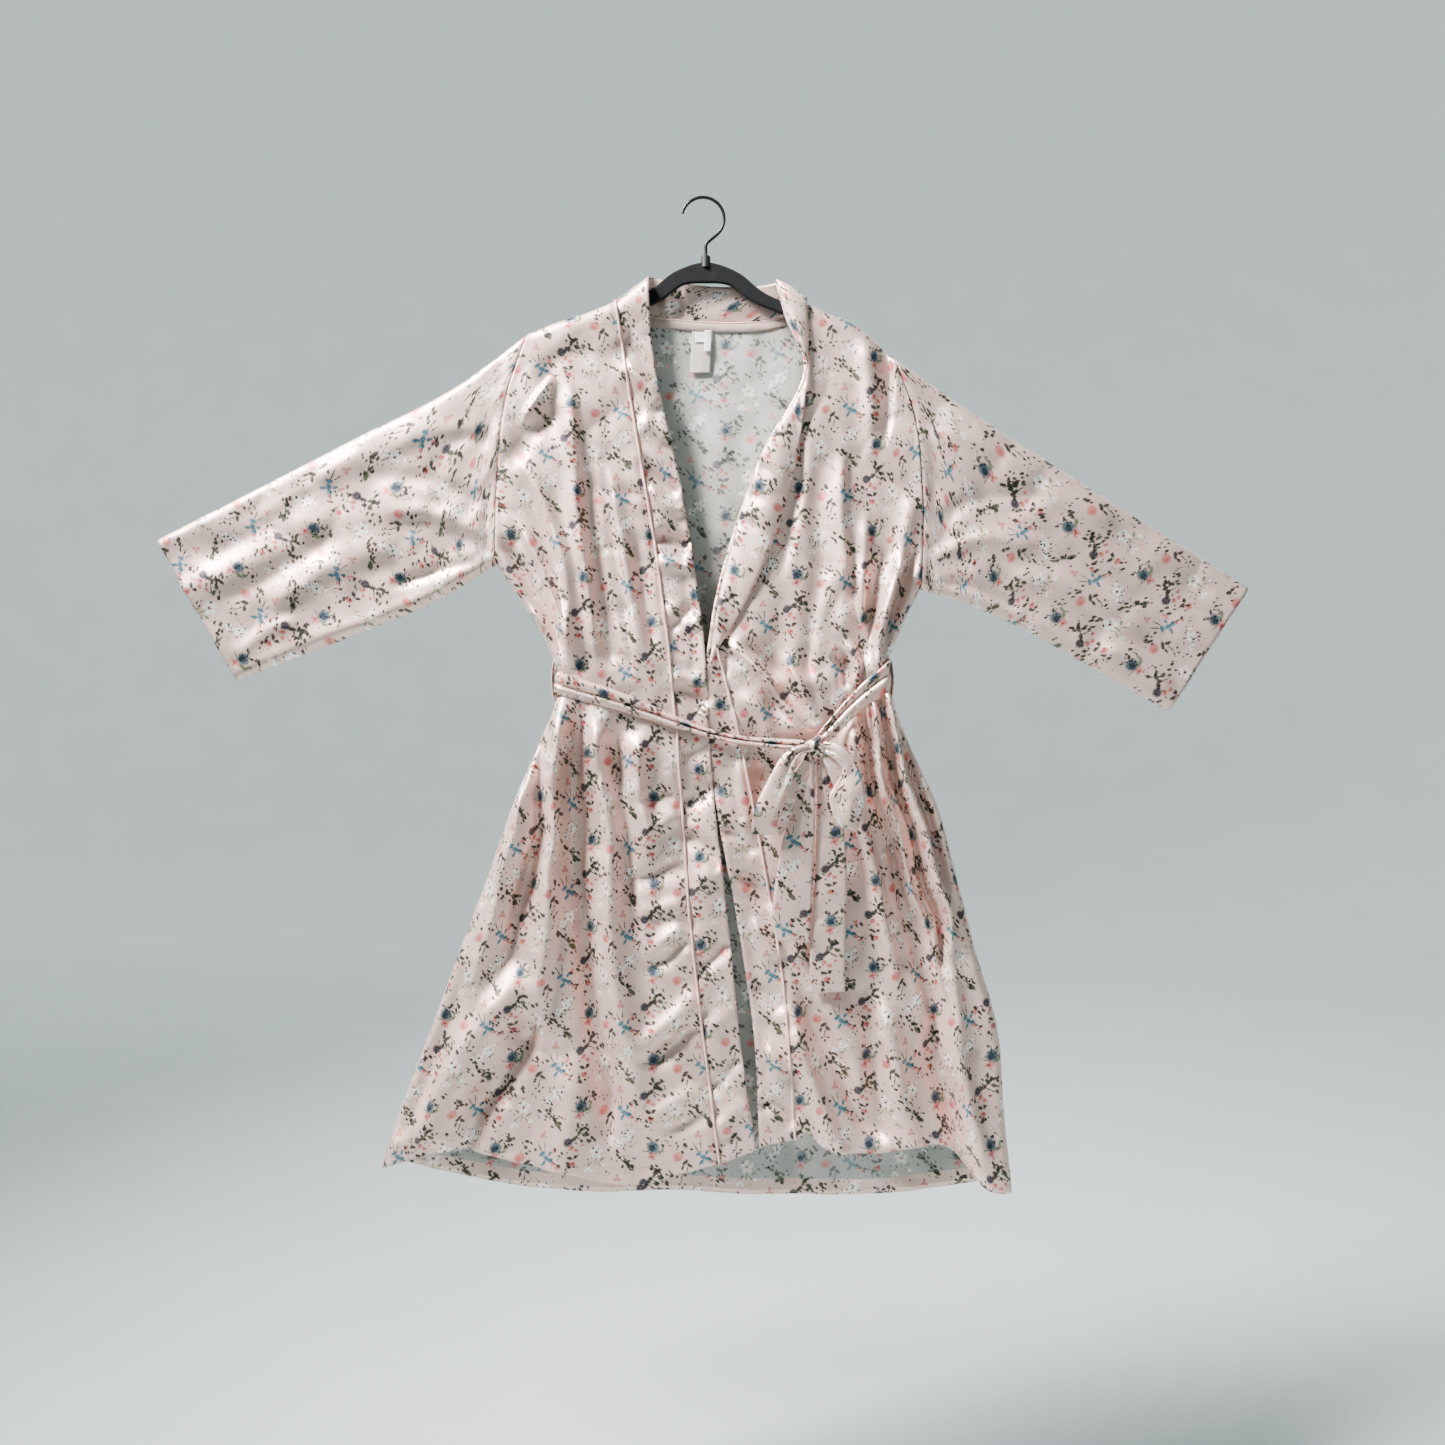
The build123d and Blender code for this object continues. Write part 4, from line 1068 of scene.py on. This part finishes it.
# Height, width and lean of each fold, and its line on the left and on the right sleeve
SLEEVE_FOLDS = [
    (4.0, 8, 0.3, [(-214, -350), (-262, -330), (-330, -322)], [(226, -372), (280, -350), (350, -352)]),
    (-3.5, 9, 0, [(-216, -320), (-270, -290), (-350, -282)], [(228, -330), (290, -305), (360, -310)]),
    (3.0, 11, 0.3, [(-206, -230), (-262, -236), (-340, -268)], [(216, -236), (270, -250), (350, -292)]),
    (-3.5, 6, 0, [(-224, -372), (-262, -378), (-320, -400)], [(234, -394), (276, -400), (330, -424)]),
    (3.5, 12, -0.3, [(-330, -250), (-400, -300), (-480, -350)], [(330, -290), (400, -330), (480, -385)]),
    (4.0, 12, 0.2, [(-300, -350), (-370, -375), (-450, -425)], [(310, -380), (380, -402), (450, -450)]),
    (-4.0, 11, 0, [(-350, -330), (-420, -372), (-500, -412)], [(350, -360), (420, -395), (490, -440)]),
    (-3.5, 9, 0, [(-380, -290), (-440, -330), (-520, -372)], [(400, -330), (450, -360), (520, -410)]),
    (3.5, 8, 0, [(-400, -430), (-440, -440), (-480, -470)], [(400, -455), (440, -468), (480, -500)]),
]
SLEEVE_FOLDS_LEFT = [fold(left, *shape) for *shape, left, right in SLEEVE_FOLDS]
SLEEVE_FOLDS_RIGHT = [fold(right, *shape) for *shape, left, right in SLEEVE_FOLDS]
SLEEVE_COLUMNS = 52  # of mesh points over each of its two sides


def sleeve(name, sections, armhole, front, folds, seed):
    """A flattened tube that starts on the edge of its armhole and ends in a plain hemmed cuff."""
    tops = np.array([section[0] for section in sections], float)
    lows = np.array([section[1] for section in sections], float)
    depths = np.array([[section[2]] for section in sections], float)
    places = places_along((tops + lows) / 2)
    rows = int(places[-1] / SPACING)
    at = np.linspace(0, places[-1], rows)
    top, low = hermite(places, tops, at), hermite(places, lows, at)
    depth = hermite(places, depths, at)[:, 0] - 1.5
    w = 0.5 - 0.5 * np.cos(np.linspace(0, math.pi, SLEEVE_COLUMNS))
    w = 0.5 * w + 0.5 * np.linspace(0, 1, SLEEVE_COLUMNS)
    across = np.linalg.norm(low - top, axis=1)
    edge = rounded(np.minimum(w, 1 - w)[None] * across[:, None])
    line = between(top[:, None], low[:, None], w[None])
    armhole_line = smooth(armhole, 80)
    length = np.linspace(0, 1, 80)
    hole = np.column_stack([np.interp(w, length, armhole_line[:, k]) for k in range(2)])
    joined = bell(at, 0, 34)[:, None]
    line = line + (hole - line[0])[None] * joined[..., None]

    def side(depth_at_seam, side_folds, side_seed):
        s, u = at[:, None] + 0 * w[None], w[None] + 0 * at[:, None]
        ripple = noise(u * 5, s / 120, side_seed) * 2.6 + noise(u * 11, s / 45, side_seed + 1) * 0.9
        seam = noise(u * 24, s / 60, side_seed + 2) * 1.4 * np.exp(-s / 26)
        small = 0.9 * wrinkles(line, side_seed + 5)
        shape = relief(line, side_folds) + ripple + small + seam
        own = (depth[:, None] + shape * (0.35 + 0.65 * edge)) * edge
        blend = bell(at, 0, 16)[:, None]
        groove = -0.9 * bell(at, 0, 3.5)[:, None] * edge
        return own * (1 - blend) + depth_at_seam[None] * blend + groove

    front_side = placed(line, side(front(hole), folds, seed))
    back_side = placed(line, -side(back_depth(hole), [], seed + 20))
    points = np.concatenate([front_side, back_side[:, -2:0:-1]], axis=1)
    u_front = w[None] * across[:, None]
    u_back = 2 * across[:, None] - w[None, -2:0:-1] * across[:, None]
    u = np.concatenate([u_front, u_back], axis=1)
    outwards = 1 if points[-1, 0, 0] < 0 else -1
    uv = np.stack([outwards * u + seed, -at[:, None] + 0 * u], -1)
    return cloth(name, points, uv, FABRIC, closed=True)


# ---------------------------------------------------------------- belt and bow

BELT_PROUD = 6.4  # of the cloth below it
BELT_FROM, BELT_TO = -153.5, 194  # the sides of the waist, where the belt turns to the back


def strap(name, points, shift, outward):
    """A doubled strip of satin with its print along it."""
    flat = ribbon_uv(points.transpose(1, 0, 2), shift).transpose(1, 0, 2)
    return cloth(name, points, flat, DOUBLED, outward, thickness=1.0)


def belt_strip(name, upper, lower, side_x, pleats, seed):
    """A stretch of the belt in front: folded, with creases along it, and turned round the side of the body.

    pleats gives the place across the belt, the width and the height of each crease.
    """
    columns = int(length_of(smooth(upper, 40)) / 3)
    top, bottom = smooth(upper, columns), smooth(lower, columns)
    v = grid(columns, 17)[1]
    xz = between(top[None], bottom[None], v)
    x, z = xz[..., 0], xz[..., 1]
    roll = 3.4 * np.sin(math.pi * v) ** 0.6 - 1.9
    folds = sum(height * bell(v, place + 0.06 * np.sin(x / 40 + place * 9), width)
                for place, width, height in pleats)
    ripple = noise(x / 24, v * 2.2, seed) * 0.9
    near_knot = eased((x - 50) / 60) if side_x < 0 else eased((178 - x) / 60)
    depth = half_depth(z) - 2.0 - BELT_PRESS + BELT_PROUD + roll + folds + ripple + 5.5 * near_knot
    return strap(name, placed(xz, depth * rounded(np.abs(x - side_x))), (seed * 3, seed * 5), (0, -1, 0))


def belt_back():
    """The belt behind the waist, in one stretch from side to side."""
    columns, rows = 110, 9
    v = grid(columns, rows)[1]
    x = np.linspace(BELT_FROM, BELT_TO, columns)[None, :] + 0 * v
    z = -476 - 29 * v - 1.5 * np.sin(x / 30)
    crease = -1.6 * bell(v, 0.4 + 0.1 * np.sin(x / 50), 0.14)
    depth = half_depth(z) - BELT_PRESS + 2.2 + crease + noise(x / 24, v * 2, 91) * 0.8
    depth = depth * rounded(np.minimum(x - BELT_FROM, BELT_TO - x))
    return strap("belt_back_strap", placed(np.stack([x, z], -1), -depth), (5, 12), (0, 1, 0))


def belt_loop(name, side):
    """A narrow strap sewn to the side of the body above and below the belt."""
    base = -150 if side < 0 else 190
    bulge = [(-5.0, -466), (0.5, -473), (2.2, -482), (2.6, -491), (2.2, -500), (1.0, -508), (-4.0, -515)]
    line = smooth([(base + side * out, z) for out, z in bulge], 26)
    u = grid(6, 26)[0]
    y = -14.0 + 8.0 * u + 0 * line[:, :1]
    ridge = 0.5 * np.cos(2 * math.pi * u)
    points = np.stack([line[:, :1] + side * ridge, y, line[:, 1:] + 0 * u], -1)
    return cloth(name, points, ribbon_uv(points, (side * 10, 4)), DOUBLED, (side, 0, 0), thickness=1.0)


def ribbon(name, left, right, rows, columns, bulge, pleats, seed):
    """A ribbon between two edges in space.

    bulge gives its crown at places along it, and pleats the place across, width, height, place along and
    spread of each small fold.
    """
    left, right = smooth(left, rows), smooth(right, rows)
    u, v = grid(columns, rows)
    points = between(left[:, None], right[:, None], u)
    crown = np.interp(v, *zip(*bulge)) * np.sin(math.pi * u) ** 0.8
    lines = sum(height * bell(u, place, width) * bell(v, middle, spread)
                for place, width, height, middle, spread in pleats)
    ripple = noise(v * rows / 9, u * 2.2, seed) * 0.8 * np.sin(math.pi * u) ** 0.5
    points[..., 1] -= crown + lines + ripple
    return cloth(name, points, ribbon_uv(points, (seed, seed * 2)), DOUBLED, thickness=0.9)


def bow():
    """Two loops, two tails and a tuck, one in front of the other so that each can swing."""
    left_loop = ribbon(
        "bow_loop_left_ribbon",
        [(107, -37, -554), (88, -43, -559), (64, -46, -592), (49, -45, -638), (50, -42, -645),
         (55, -39.5, -640), (82, -39, -596), (104, -37, -564)],
        [(111, -38, -562), (98, -43, -566), (88, -45, -594), (75, -45, -640), (77, -42, -646),
         (82, -39.5, -640), (96, -39, -598), (109, -37, -568)],
        90, 12, [(0, 0.5), (0.2, 2.0), (0.42, 2.5), (0.5, 0), (0.6, -0.4), (1, 0)],
        [(0.3, 0.12, 2.0, 0.08, 0.12), (0.65, 0.1, -2.4, 0.1, 0.14), (0.85, 0.1, 1.4, 0.3, 0.1)], 201)
    right_loop = ribbon(
        "bow_loop_right_ribbon",
        [(118, -37, -563), (128, -42, -569), (138, -44, -580), (125, -46, -608), (140, -45, -638),
         (143, -40.5, -634), (131, -39, -600), (119, -37, -568)],
        [(118, -39, -553), (134, -45, -555), (153, -47, -578), (161, -46, -606), (152, -45, -641),
         (156, -40.5, -634), (147, -39, -592), (122, -37, -562)],
        96, 12,
        [(0, 0.5), (0.12, 2.4), (0.24, -1.0), (0.34, 3.2), (0.5, 2.0), (0.56, 0), (0.7, -0.4), (1, 0)],
        [(0.4, 0.12, -2.0, 0.06, 0.1), (0.55, 0.16, 2.2, 0.42, 0.06), (0.2, 0.1, -2.0, 0.38, 0.05)], 223)
    left_tail = ribbon(
        "bow_tail_left_ribbon",
        [(109, -34, -568), (99, -35, -582), (87, -35, -622), (73, -34.5, -690), (71, -34, -742),
         (74, -34, -751)],
        [(114, -34, -569), (113, -35.5, -590), (112, -35, -632), (110, -34.5, -692), (107, -34, -752),
         (107, -34, -753)],
        90, 14, [(0, 0.6), (0.3, 1.0), (0.7, 1.0), (1, 0.6)],
        [(0.35, 0.12, -1.2, 0.1, 0.2), (0.6, 0.12, 1.4, 0.15, 0.24), (0.9, 0.1, 1.2, 0.2, 0.3),
         (0.5, 0.5, -0.8, 0.62, 0.05)], 241)
    right_tail = ribbon(
        "bow_tail_right_ribbon",
        [(115, -32, -568), (114, -31.5, -600), (112, -31, -690), (109, -31, -728), (107, -30.8, -770),
         (107, -30.6, -804)],
        [(120, -32, -566), (128, -31.5, -590), (141, -31, -646), (144, -31, -690), (143, -30.8, -733),
         (142, -30.6, -802)],
        110, 14, [(0, 0.4), (0.3, 0.8), (0.7, 0.8), (1, 0.5)],
        [(0.4, 0.12, -1.0, 0.1, 0.16), (0.75, 0.12, 1.0, 0.12, 0.18), (0.5, 0.6, -1.0, 0.68, 0.022),
         (0.5, 0.6, 1.0, 0.73, 0.03)], 263)
    tuck = ribbon(
        "bow_tail_left_tuck",
        [(104, -37, -563), (105, -37.6, -580), (108, -37, -612)],
        [(108, -37.5, -562), (110, -37.6, -580), (111.5, -37, -614)],
        34, 8, [(0, 0.6), (0.6, 0.6), (1, 0.2)], [(0.5, 0.2, 0.4, 0.5, 0.4)], 271)
    return left_loop, right_loop, left_tail, right_tail, tuck


KNOT_SIZE = (12.5, 8.6, 10.4)  # half of its length, depth and height
KNOT_SLANT = math.radians(28)


def knot():
    """One turn of the belt, drawn tight: a lump with slanting wraps and tucks."""
    rows, columns = 34, 48
    polar = np.linspace(0.02, math.pi - 0.02, rows)[:, None]
    turn = np.linspace(0, 2 * math.pi, columns, endpoint=False)[None, :]
    wraps = 0.09 * np.sin(3 * turn + 2.2 * np.cos(polar)) + 0.05 * np.sin(7 * turn - 3 * polar)
    dents = 0.05 * np.sin(5 * polar + 2 * turn)
    radius = 1 + (wraps + dents) * np.sin(polar)
    x = np.cos(polar) * KNOT_SIZE[0] * radius
    y = np.sin(polar) * np.cos(turn) * KNOT_SIZE[1] * radius
    z = np.sin(polar) * np.sin(turn) * KNOT_SIZE[2] * radius
    c, s = math.cos(KNOT_SLANT), math.sin(KNOT_SLANT)
    points = np.stack([KNOT[0] + x * c - z * s, KNOT[1] + y, KNOT[2] + x * s + z * c], -1)
    uv = np.stack([turn * 9 + 0 * polar, polar * 12 + 0 * turn], -1)
    index = np.arange(rows * columns).reshape(rows, columns)
    follow = np.roll(index, -1, axis=1)
    faces = np.stack([index[:-1], follow[:-1], follow[1:], index[1:]], -1).reshape(-1, 4).tolist()
    faces += [index[0][::-1].tolist(), index[-1].tolist()]
    return build_mesh("belt_knot_cloth", points.reshape(-1, 3), faces, uv.reshape(-1, 2), [RIGHT_SIDE])


# ---------------------------------------------------------------- labels and stitching

LABEL_TOP = -132.4


def label(name, left, width, length, front_y, tilt, material, seed):
    """A blank tape, sewn at its top edge and hanging with a slight curl."""
    u, v = grid(12, 24)
    x = left + width * u + math.tan(math.radians(tilt)) * length * v
    z = LABEL_TOP - length * v + 0 * u
    curl = -0.8 * v**2 - 0.8 * np.sin(math.pi * u) * v + noise(u * 2 + 0 * v, v * 3, seed) * 0.35
    points = np.stack([x, front_y + curl + 0 * x, z], -1)
    return cloth(name, points, ribbon_uv(points), [material, material], thickness=0.3)


def stitches(name, line, depth, pitch=3.0, back=False):
    """A row of machine stitches that lies on the cloth."""
    path = smooth(line, int(length_of(line) / pitch) * 2)
    y = depth(path) + 0.15
    path = np.column_stack([path[:, 0], y if back else -y, path[:, 1]])
    starts, ends = path[0:-1:2], path[1::2]
    run = ends - starts
    starts, ends = starts + run * 0.12, ends + run * 0.4
    side = np.cross(run, (0, 1, 0))
    side /= np.linalg.norm(side, axis=1, keepdims=True)
    up = np.array([0, 1.0 if back else -1.0, 0])
    ring = [side * 0.22, up * 0.2 + side * 0, -side * 0.22, -up * 0.2 + side * 0]
    middle = (starts + ends) / 2 + up * 0.18
    points = np.concatenate([
        np.stack([starts + r * 0.3 for r in ring], 1), np.stack([middle + r for r in ring], 1),
        np.stack([ends + r * 0.3 for r in ring], 1),
    ], axis=1)
    faces = []
    for k in range(4):
        n = (k + 1) % 4
        faces += [(k, n, n + 4, k + 4), (k + 4, n + 4, n + 8, k + 8)]
    faces += [(3, 2, 1, 0), (8, 9, 10, 11)]
    faces = (np.arange(len(run))[:, None, None] * 12 + np.array(faces)[None]).reshape(-1, 4).tolist()
    points = points.reshape(-1, 3)
    return build_mesh(name, points, faces, points[:, [0, 2]], [THREAD])


def raised(line, height=17.5):
    """A line above a hem, as far up as its stitches run."""
    return [(x, z + height) for x, z in line]


# ---------------------------------------------------------------- putting it together

def ride(obj, body, slot, *nodes):
    """Fixes a piece to a body and hides the CAD nodes it stands in for. slot is not used."""
    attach(obj, body)
    if nodes:
        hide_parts(*nodes)
    return obj


left_front, left_band, right_front = gown_fronts()
lapel, back = collar(), back_sheet()
neck_band, neck_cord, neck_tape = neck_pieces()
cord_left = piping_cord("piping_left_cord", PIPING_LEFT, left_depth)
cord_right = piping_cord("piping_right_cord", PIPING_RIGHT, right_depth)
for piece, node in (
    (left_front, "front_panel_left"), (left_band, "band_left"), (right_front, "front_panel_right"),
    (lapel, "band_right"), (back, "back_panel"), (neck_band, "neck_band"),
):
    ride(piece, "gown", "print_satin", node)
for piece, node in (
    (neck_cord, "neck_piping"), (neck_tape, "neck_binding"), (cord_left, "piping_left"),
    (cord_right, "piping_right"),
):
    ride(piece, "gown", "plain_satin", node)

sleeve_left = sleeve("sleeve_left_cloth", SLEEVE_LEFT, ARMHOLE_LEFT, left_depth, SLEEVE_FOLDS_LEFT, 301)
sleeve_right = sleeve("sleeve_right_cloth", SLEEVE_RIGHT, ARMHOLE_RIGHT, right_depth, SLEEVE_FOLDS_RIGHT, 331)
for piece, name, hole in (
    (sleeve_left, "sleeve_left", ARMHOLE_LEFT), (sleeve_right, "sleeve_right", ARMHOLE_RIGHT),
):
    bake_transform(piece)
    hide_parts(name)

strap_left = belt_strip("belt_front_left_strap", BELT_LEFT_UPPER, BELT_LEFT_LOWER, -153,
                        [(0.5, 0.07, -4.0), (0.2, 0.12, 1.2), (0.78, 0.12, 1.4)], 7)
strap_right = belt_strip("belt_front_right_strap", BELT_RIGHT_UPPER, BELT_RIGHT_LOWER, 193,
                         [(0.34, 0.08, -3.8), (0.12, 0.12, 1.8), (0.7, 0.2, 1.2)], 9)
strap_back = belt_back()
for piece, node in (
    (strap_left, "belt_front_left"), (strap_right, "belt_front_right"), (strap_back, "belt_back"),
    (belt_loop("belt_loop_left_strap", -1), "belt_loop_left"),
    (belt_loop("belt_loop_right_strap", 1), "belt_loop_right"), (knot(), "belt_knot"),
):
    ride(piece, "gown", "print_satin", node)
bow_left, bow_right, tail_left, tail_right, tuck = bow()
for piece, node in (
    (bow_left, "bow_loop_left"), (bow_right, "bow_loop_right"), (tail_left, "bow_tail_left"),
    (tail_right, "bow_tail_right"),
):
    ride(piece, node, "print_satin", node)
ride(tuck, "bow_tail_left", "print_satin")

TAPE = label_tape("label_tape", (240, 238, 234))
CARE_TAPE = label_tape("care_label_tape", (200, 190, 180))
brand = label("brand_label_tape", -8, 18, 12, 6.6, 0, TAPE, 401)
size_tag = label("size_label_tape", 2, 7, 22, 5.6, -3, TAPE, 402)
care = label("care_label_tape_piece", -11, 21, 44, 6.9, -3, CARE_TAPE, 403)
for piece, node in ((brand, "brand_label"), (size_tag, "size_label"), (care, "care_label")):
    ride(piece, "neck_labels", "label_tape", node)

for name, line, depth in (
    ("hem_stitching_left", HEM_LEFT, left_depth), ("hem_stitching_left_band", HEM_LEFT_BAND, left_depth),
    ("hem_stitching_right", HEM_RIGHT[:-1], right_depth), ("hem_stitching_back", HEM_BACK[1:-1], back_depth),
):
    ride(stitches(name, raised(line), depth, back=depth is back_depth), "gown", "plain_satin")

for node, material in (
    ("hook", painted_wire()), ("hook_collar", moulded_plastic()), ("hanger_body", flocking()),
):
    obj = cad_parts[node]
    obj.data.materials.clear()
    obj.data.materials.append(material)


# ---------------------------------------------------------------- stage, lights and camera

# In metres
FLOOR_Z = -1.42
VIEW_X, VIEW_Z = 0.020, -0.534
VIEW_HEIGHT = 1.474  # of what the camera sees at the gown
VIEW_DISTANCE = 1.36
# Radius of the backdrop and its height above the floor
BACKDROP = [(0.0, 0.0), (2.0, 0.0), (4.2, 0.0), (5.2, 0.12), (6.0, 0.6), (6.4, 1.5), (6.6, 3.0), (6.6, 14.0)]


def backdrop():
    """A pale floor that curves up into a wall all round, far from the gown, glowing with painted light that
    grows brighter the farther back.
    """
    profile = smooth(BACKDROP, 40)
    sides = 64
    vertices, faces = [], []
    for radius, height in profile:
        for k in range(sides):
            turn = 2 * math.pi * k / sides
            vertices.append((radius * math.cos(turn), radius * math.sin(turn), FLOOR_Z + height))
    for row in range(0, (len(profile) - 1) * sides, sides):
        for k in range(sides):
            n = (k + 1) % sides
            faces.append((row + k, row + n, row + sides + n, row + sides + k))
    mesh = bpy.data.meshes.new("backdrop")
    mesh.from_pydata(vertices, [], faces)
    mesh.polygons.foreach_set("use_smooth", np.ones(len(faces), bool))
    material, nodes, shader = new_material("backdrop_paper")
    place = solid_place(nodes, 1.0)
    mottle = nodes.noise(place, 6.0, 3.0)
    base = nodes.mix(mottle, linear((184, 195, 194)), linear((193, 203, 202)))
    painted_glow = nodes.range(nodes.parts(place)[1], -1.0, 4.0, 0.05, 0.9)  # painted light: the backdrop glows, faintly in front and strongly behind the gown, and lights it like a lamp
    nodes.feed(shader, {
        "Base Color": base, "Roughness": 0.95, "Emission Color": base, "Emission Strength": painted_glow})
    mesh.materials.append(material)
    add_object("backdrop", mesh)


def light(name, place, target, size, power, colour, spread=180):
    """A square lamp that points at its target."""
    lamp = bpy.data.lights.new(name, "AREA")
    lamp.energy = power
    lamp.size = size
    lamp.color = colour
    lamp.spread = math.radians(spread)
    obj = add_object(name, lamp)
    obj.location = place
    obj.rotation_euler = (Vector(target) - Vector(place)).to_track_quat("-Z", "Y").to_euler()


def studio():
    """A strong key light from the upper left, a faint fill, a light behind, and the camera."""
    backdrop()
    middle = (VIEW_X, 0, VIEW_Z)
    light("key", (-1.45, -0.74, 1.45), (VIEW_X, 0, -0.4), 0.7, 88, (1.0, 0.985, 0.97), 80)
    light("fill", (2.2, -2.6, -0.2), middle, 2.4, 3, (0.95, 0.98, 1.0), 110)
    light("back", (0.6, 2.6, 1.0), middle, 2.4, 26, (1.0, 1.0, 1.0))
    world = bpy.data.worlds.new("studio")
    world.use_nodes = True
    background = world.node_tree.nodes["Background"]
    background.inputs[0].default_value = linear((214, 222, 224))
    background.inputs[1].default_value = 0.12
    bpy.context.scene.world = world

    view = bpy.data.cameras.new("camera")
    view.sensor_fit = "HORIZONTAL"
    view.angle = 2 * math.atan(VIEW_HEIGHT / 2 / VIEW_DISTANCE)
    view.clip_start = 0.05
    camera = add_object("camera", view)
    camera.location = (VIEW_X, -VIEW_DISTANCE, VIEW_Z)
    camera.rotation_euler = (math.pi / 2, 0, 0)
    bpy.context.scene.camera = camera


studio()
